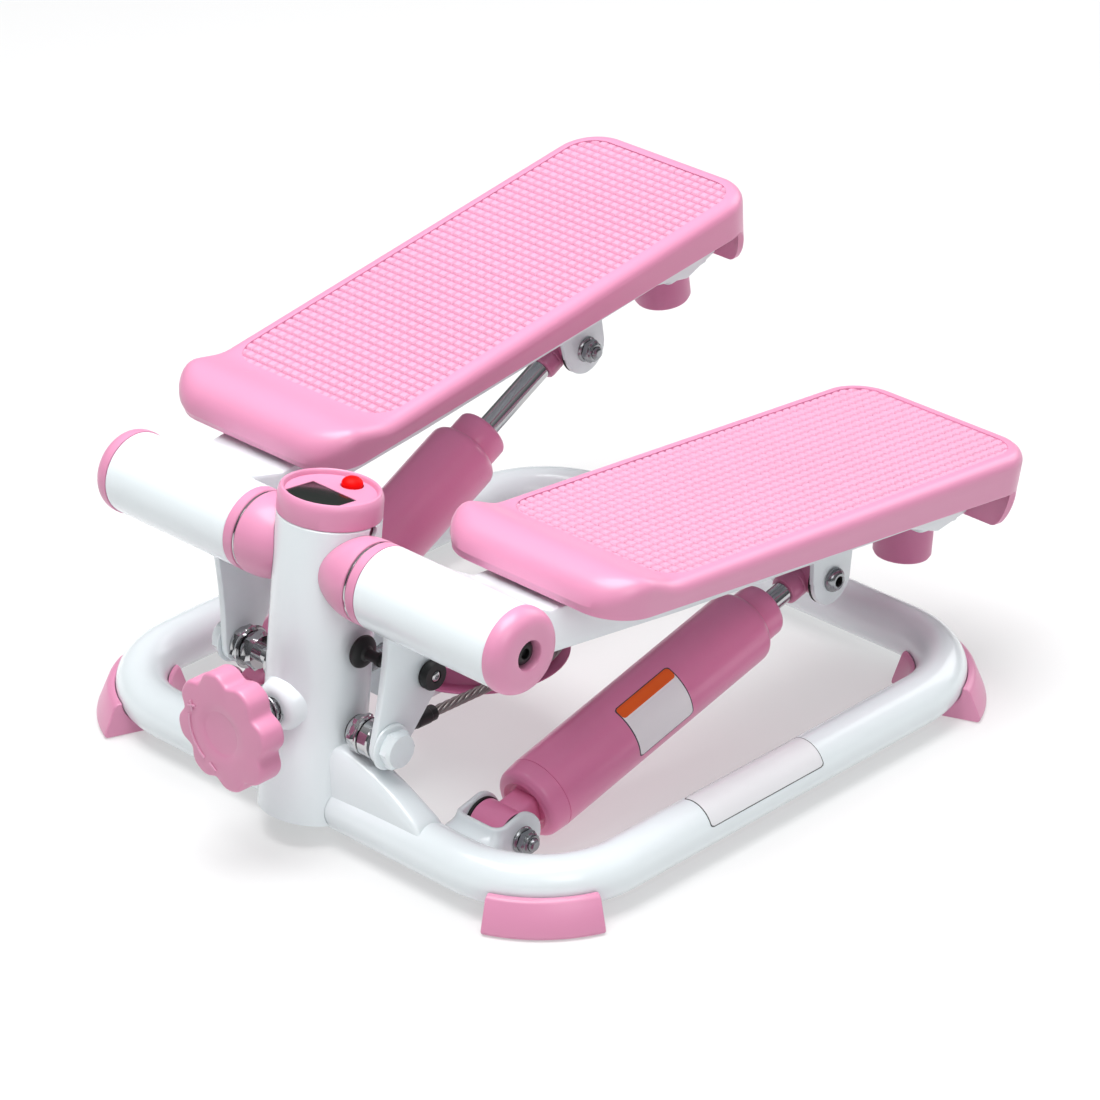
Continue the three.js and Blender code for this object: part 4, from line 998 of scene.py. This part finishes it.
def magnet_holder(place):
    """The step counter's magnet on a stalk from the left lever towards the post."""
    foot = LEVER_X["left"] - 0.2
    disc = [(0, 34), (8.2, 34), (9.3, 34.5), (9.6, 35.4), (9.2, 36.6), (7.4, 37.9), (4.6, 38.6),
            (3.4, 40), (3.2, 44), (3.2, 47.4), (4, 47.8), (4, 50), (3.2, 50.4), (3.2, foot), (0, foot)]
    Solid().lathe(disc, TURN_X, 56).done(
        "magnet_holder_disc", RUBBER, "left_pedal", place, ["magnet_holder_left"])


def lever(name, side):
    place = pedal_place(name) @ sided(side)
    lever_plate(name, place)
    lever_bolt(name, place @ at(0, LEVER_U, LEVER_V))
    lever_stop(name, place @ at(0, STOP_U, STOP_V))
    if name == "left":
        magnet_holder(place @ at(0, MAGNET_U, MAGNET_V))


def build():
    base_tube()
    feet()
    post()
    gussets()
    monitor()
    axle_and_bushes()
    knob()
    knob_marks()
    screw_and_spring()
    pulley()
    yoke()
    rope_wrap()
    for name, side in SIDES:
        rope_run(name, side)
    foot_brackets()
    for name, side in SIDES:
        cylinder(name, side)
    labels()
    for name, side in SIDES:
        pivot_tube(name, side)
        lever(name, side)
        pedal_arm(name, side)
        pedal_shell(name, side)
        pedal_tread(name, side)


# ---- camera, floor and light ----
FLOOR_HALF, FLOOR_DROP = 8, 0.0005     # metres; the floor lies just under the feet
FLOOR_GREY, FLOOR_GLOW = 0.42, 0.42
SKY_STRENGTH = 0.5
SKY = (                                # share of the way up, colour
    (0.0, (0.13, 0.135, 0.145, 1)),
    (0.38, (0.34, 0.35, 0.37, 1)),
    (0.85, (0.98, 0.99, 1.0, 1)))


def camera():
    azimuth, elevation, distance, lens = 43.88, 27.65, 2.680, 152.3
    target = Vector((-0.0038, 0.0101 + SHIFT_Y * MM, 0.0952))
    back = Vector((sind(azimuth) * cosd(elevation), -cosd(azimuth) * cosd(elevation), sind(elevation)))
    data = bpy.data.cameras.new("camera")
    data.sensor_width = 36
    data.lens = lens
    view = linked("camera", data)
    view.location = target + back * distance
    view.rotation_euler = (-back).to_track_quat("-Z", "Y").to_euler()
    bpy.context.scene.camera = view


def stage():
    """A pale floor with a little light of its own, so that it stays white under the part."""
    paper = bpy.data.materials.new("paper")
    paper.use_nodes = True
    put(paper.node_tree.nodes["Principled BSDF"], Base_Color=(FLOOR_GREY, FLOOR_GREY, FLOOR_GREY, 1),
        Emission_Color=(1, 1, 1, 1), Emission_Strength=FLOOR_GLOW, Roughness=0.9)
    data = bpy.data.meshes.new("floor")
    data.from_pydata([(x * FLOOR_HALF, y * FLOOR_HALF, -FLOOR_DROP) for x, y in SQUARE], [],
                     [(0, 1, 2, 3)])
    data.materials.append(paper)
    floor = linked("floor", data)


def lamp(name, place, size, power):
    data = bpy.data.lights.new(name, "AREA")
    data.size = size
    data.energy = power
    light = linked(name, data)
    light.location = place
    light.rotation_euler = (Vector((0, 0, 0.1)) - light.location).to_track_quat("-Z", "Y").to_euler()


def studio_sky():
    """A white room: bright overhead, grey round the sides, which gives the metal its dark reflections."""
    world = bpy.data.worlds.new("studio")
    world.use_nodes = True
    nodes, links = world.node_tree.nodes, world.node_tree.links
    place = nodes.new("ShaderNodeTexCoord")
    split = nodes.new("ShaderNodeSeparateXYZ")
    ramp = nodes.new("ShaderNodeValToRGB")
    links.new(place.outputs["Generated"], split.inputs["Vector"])
    links.new(split.outputs["Z"], ramp.inputs["Fac"])
    low, middle, high = SKY
    stops = ramp.color_ramp.elements
    stops[0].position, stops[0].color = low
    stops[1].position, stops[1].color = high
    stops.new(middle[0]).color = middle[1]
    links.new(ramp.outputs["Color"], put(nodes["Background"], Strength=SKY_STRENGTH).inputs["Color"])
    bpy.context.scene.world = world


def lights():
    lamp("top", (-0.1, -0.3, 2.3), 1.7, 74)
    lamp("side", (1.9, -0.9, 1.6), 1.0, 9)
    lamp("back", (0.2, 2.4, 1.5), 1.6, 20)
    studio_sky()
    bpy.context.scene.view_settings.view_transform = "Standard"


build()
camera()
stage()
lights()
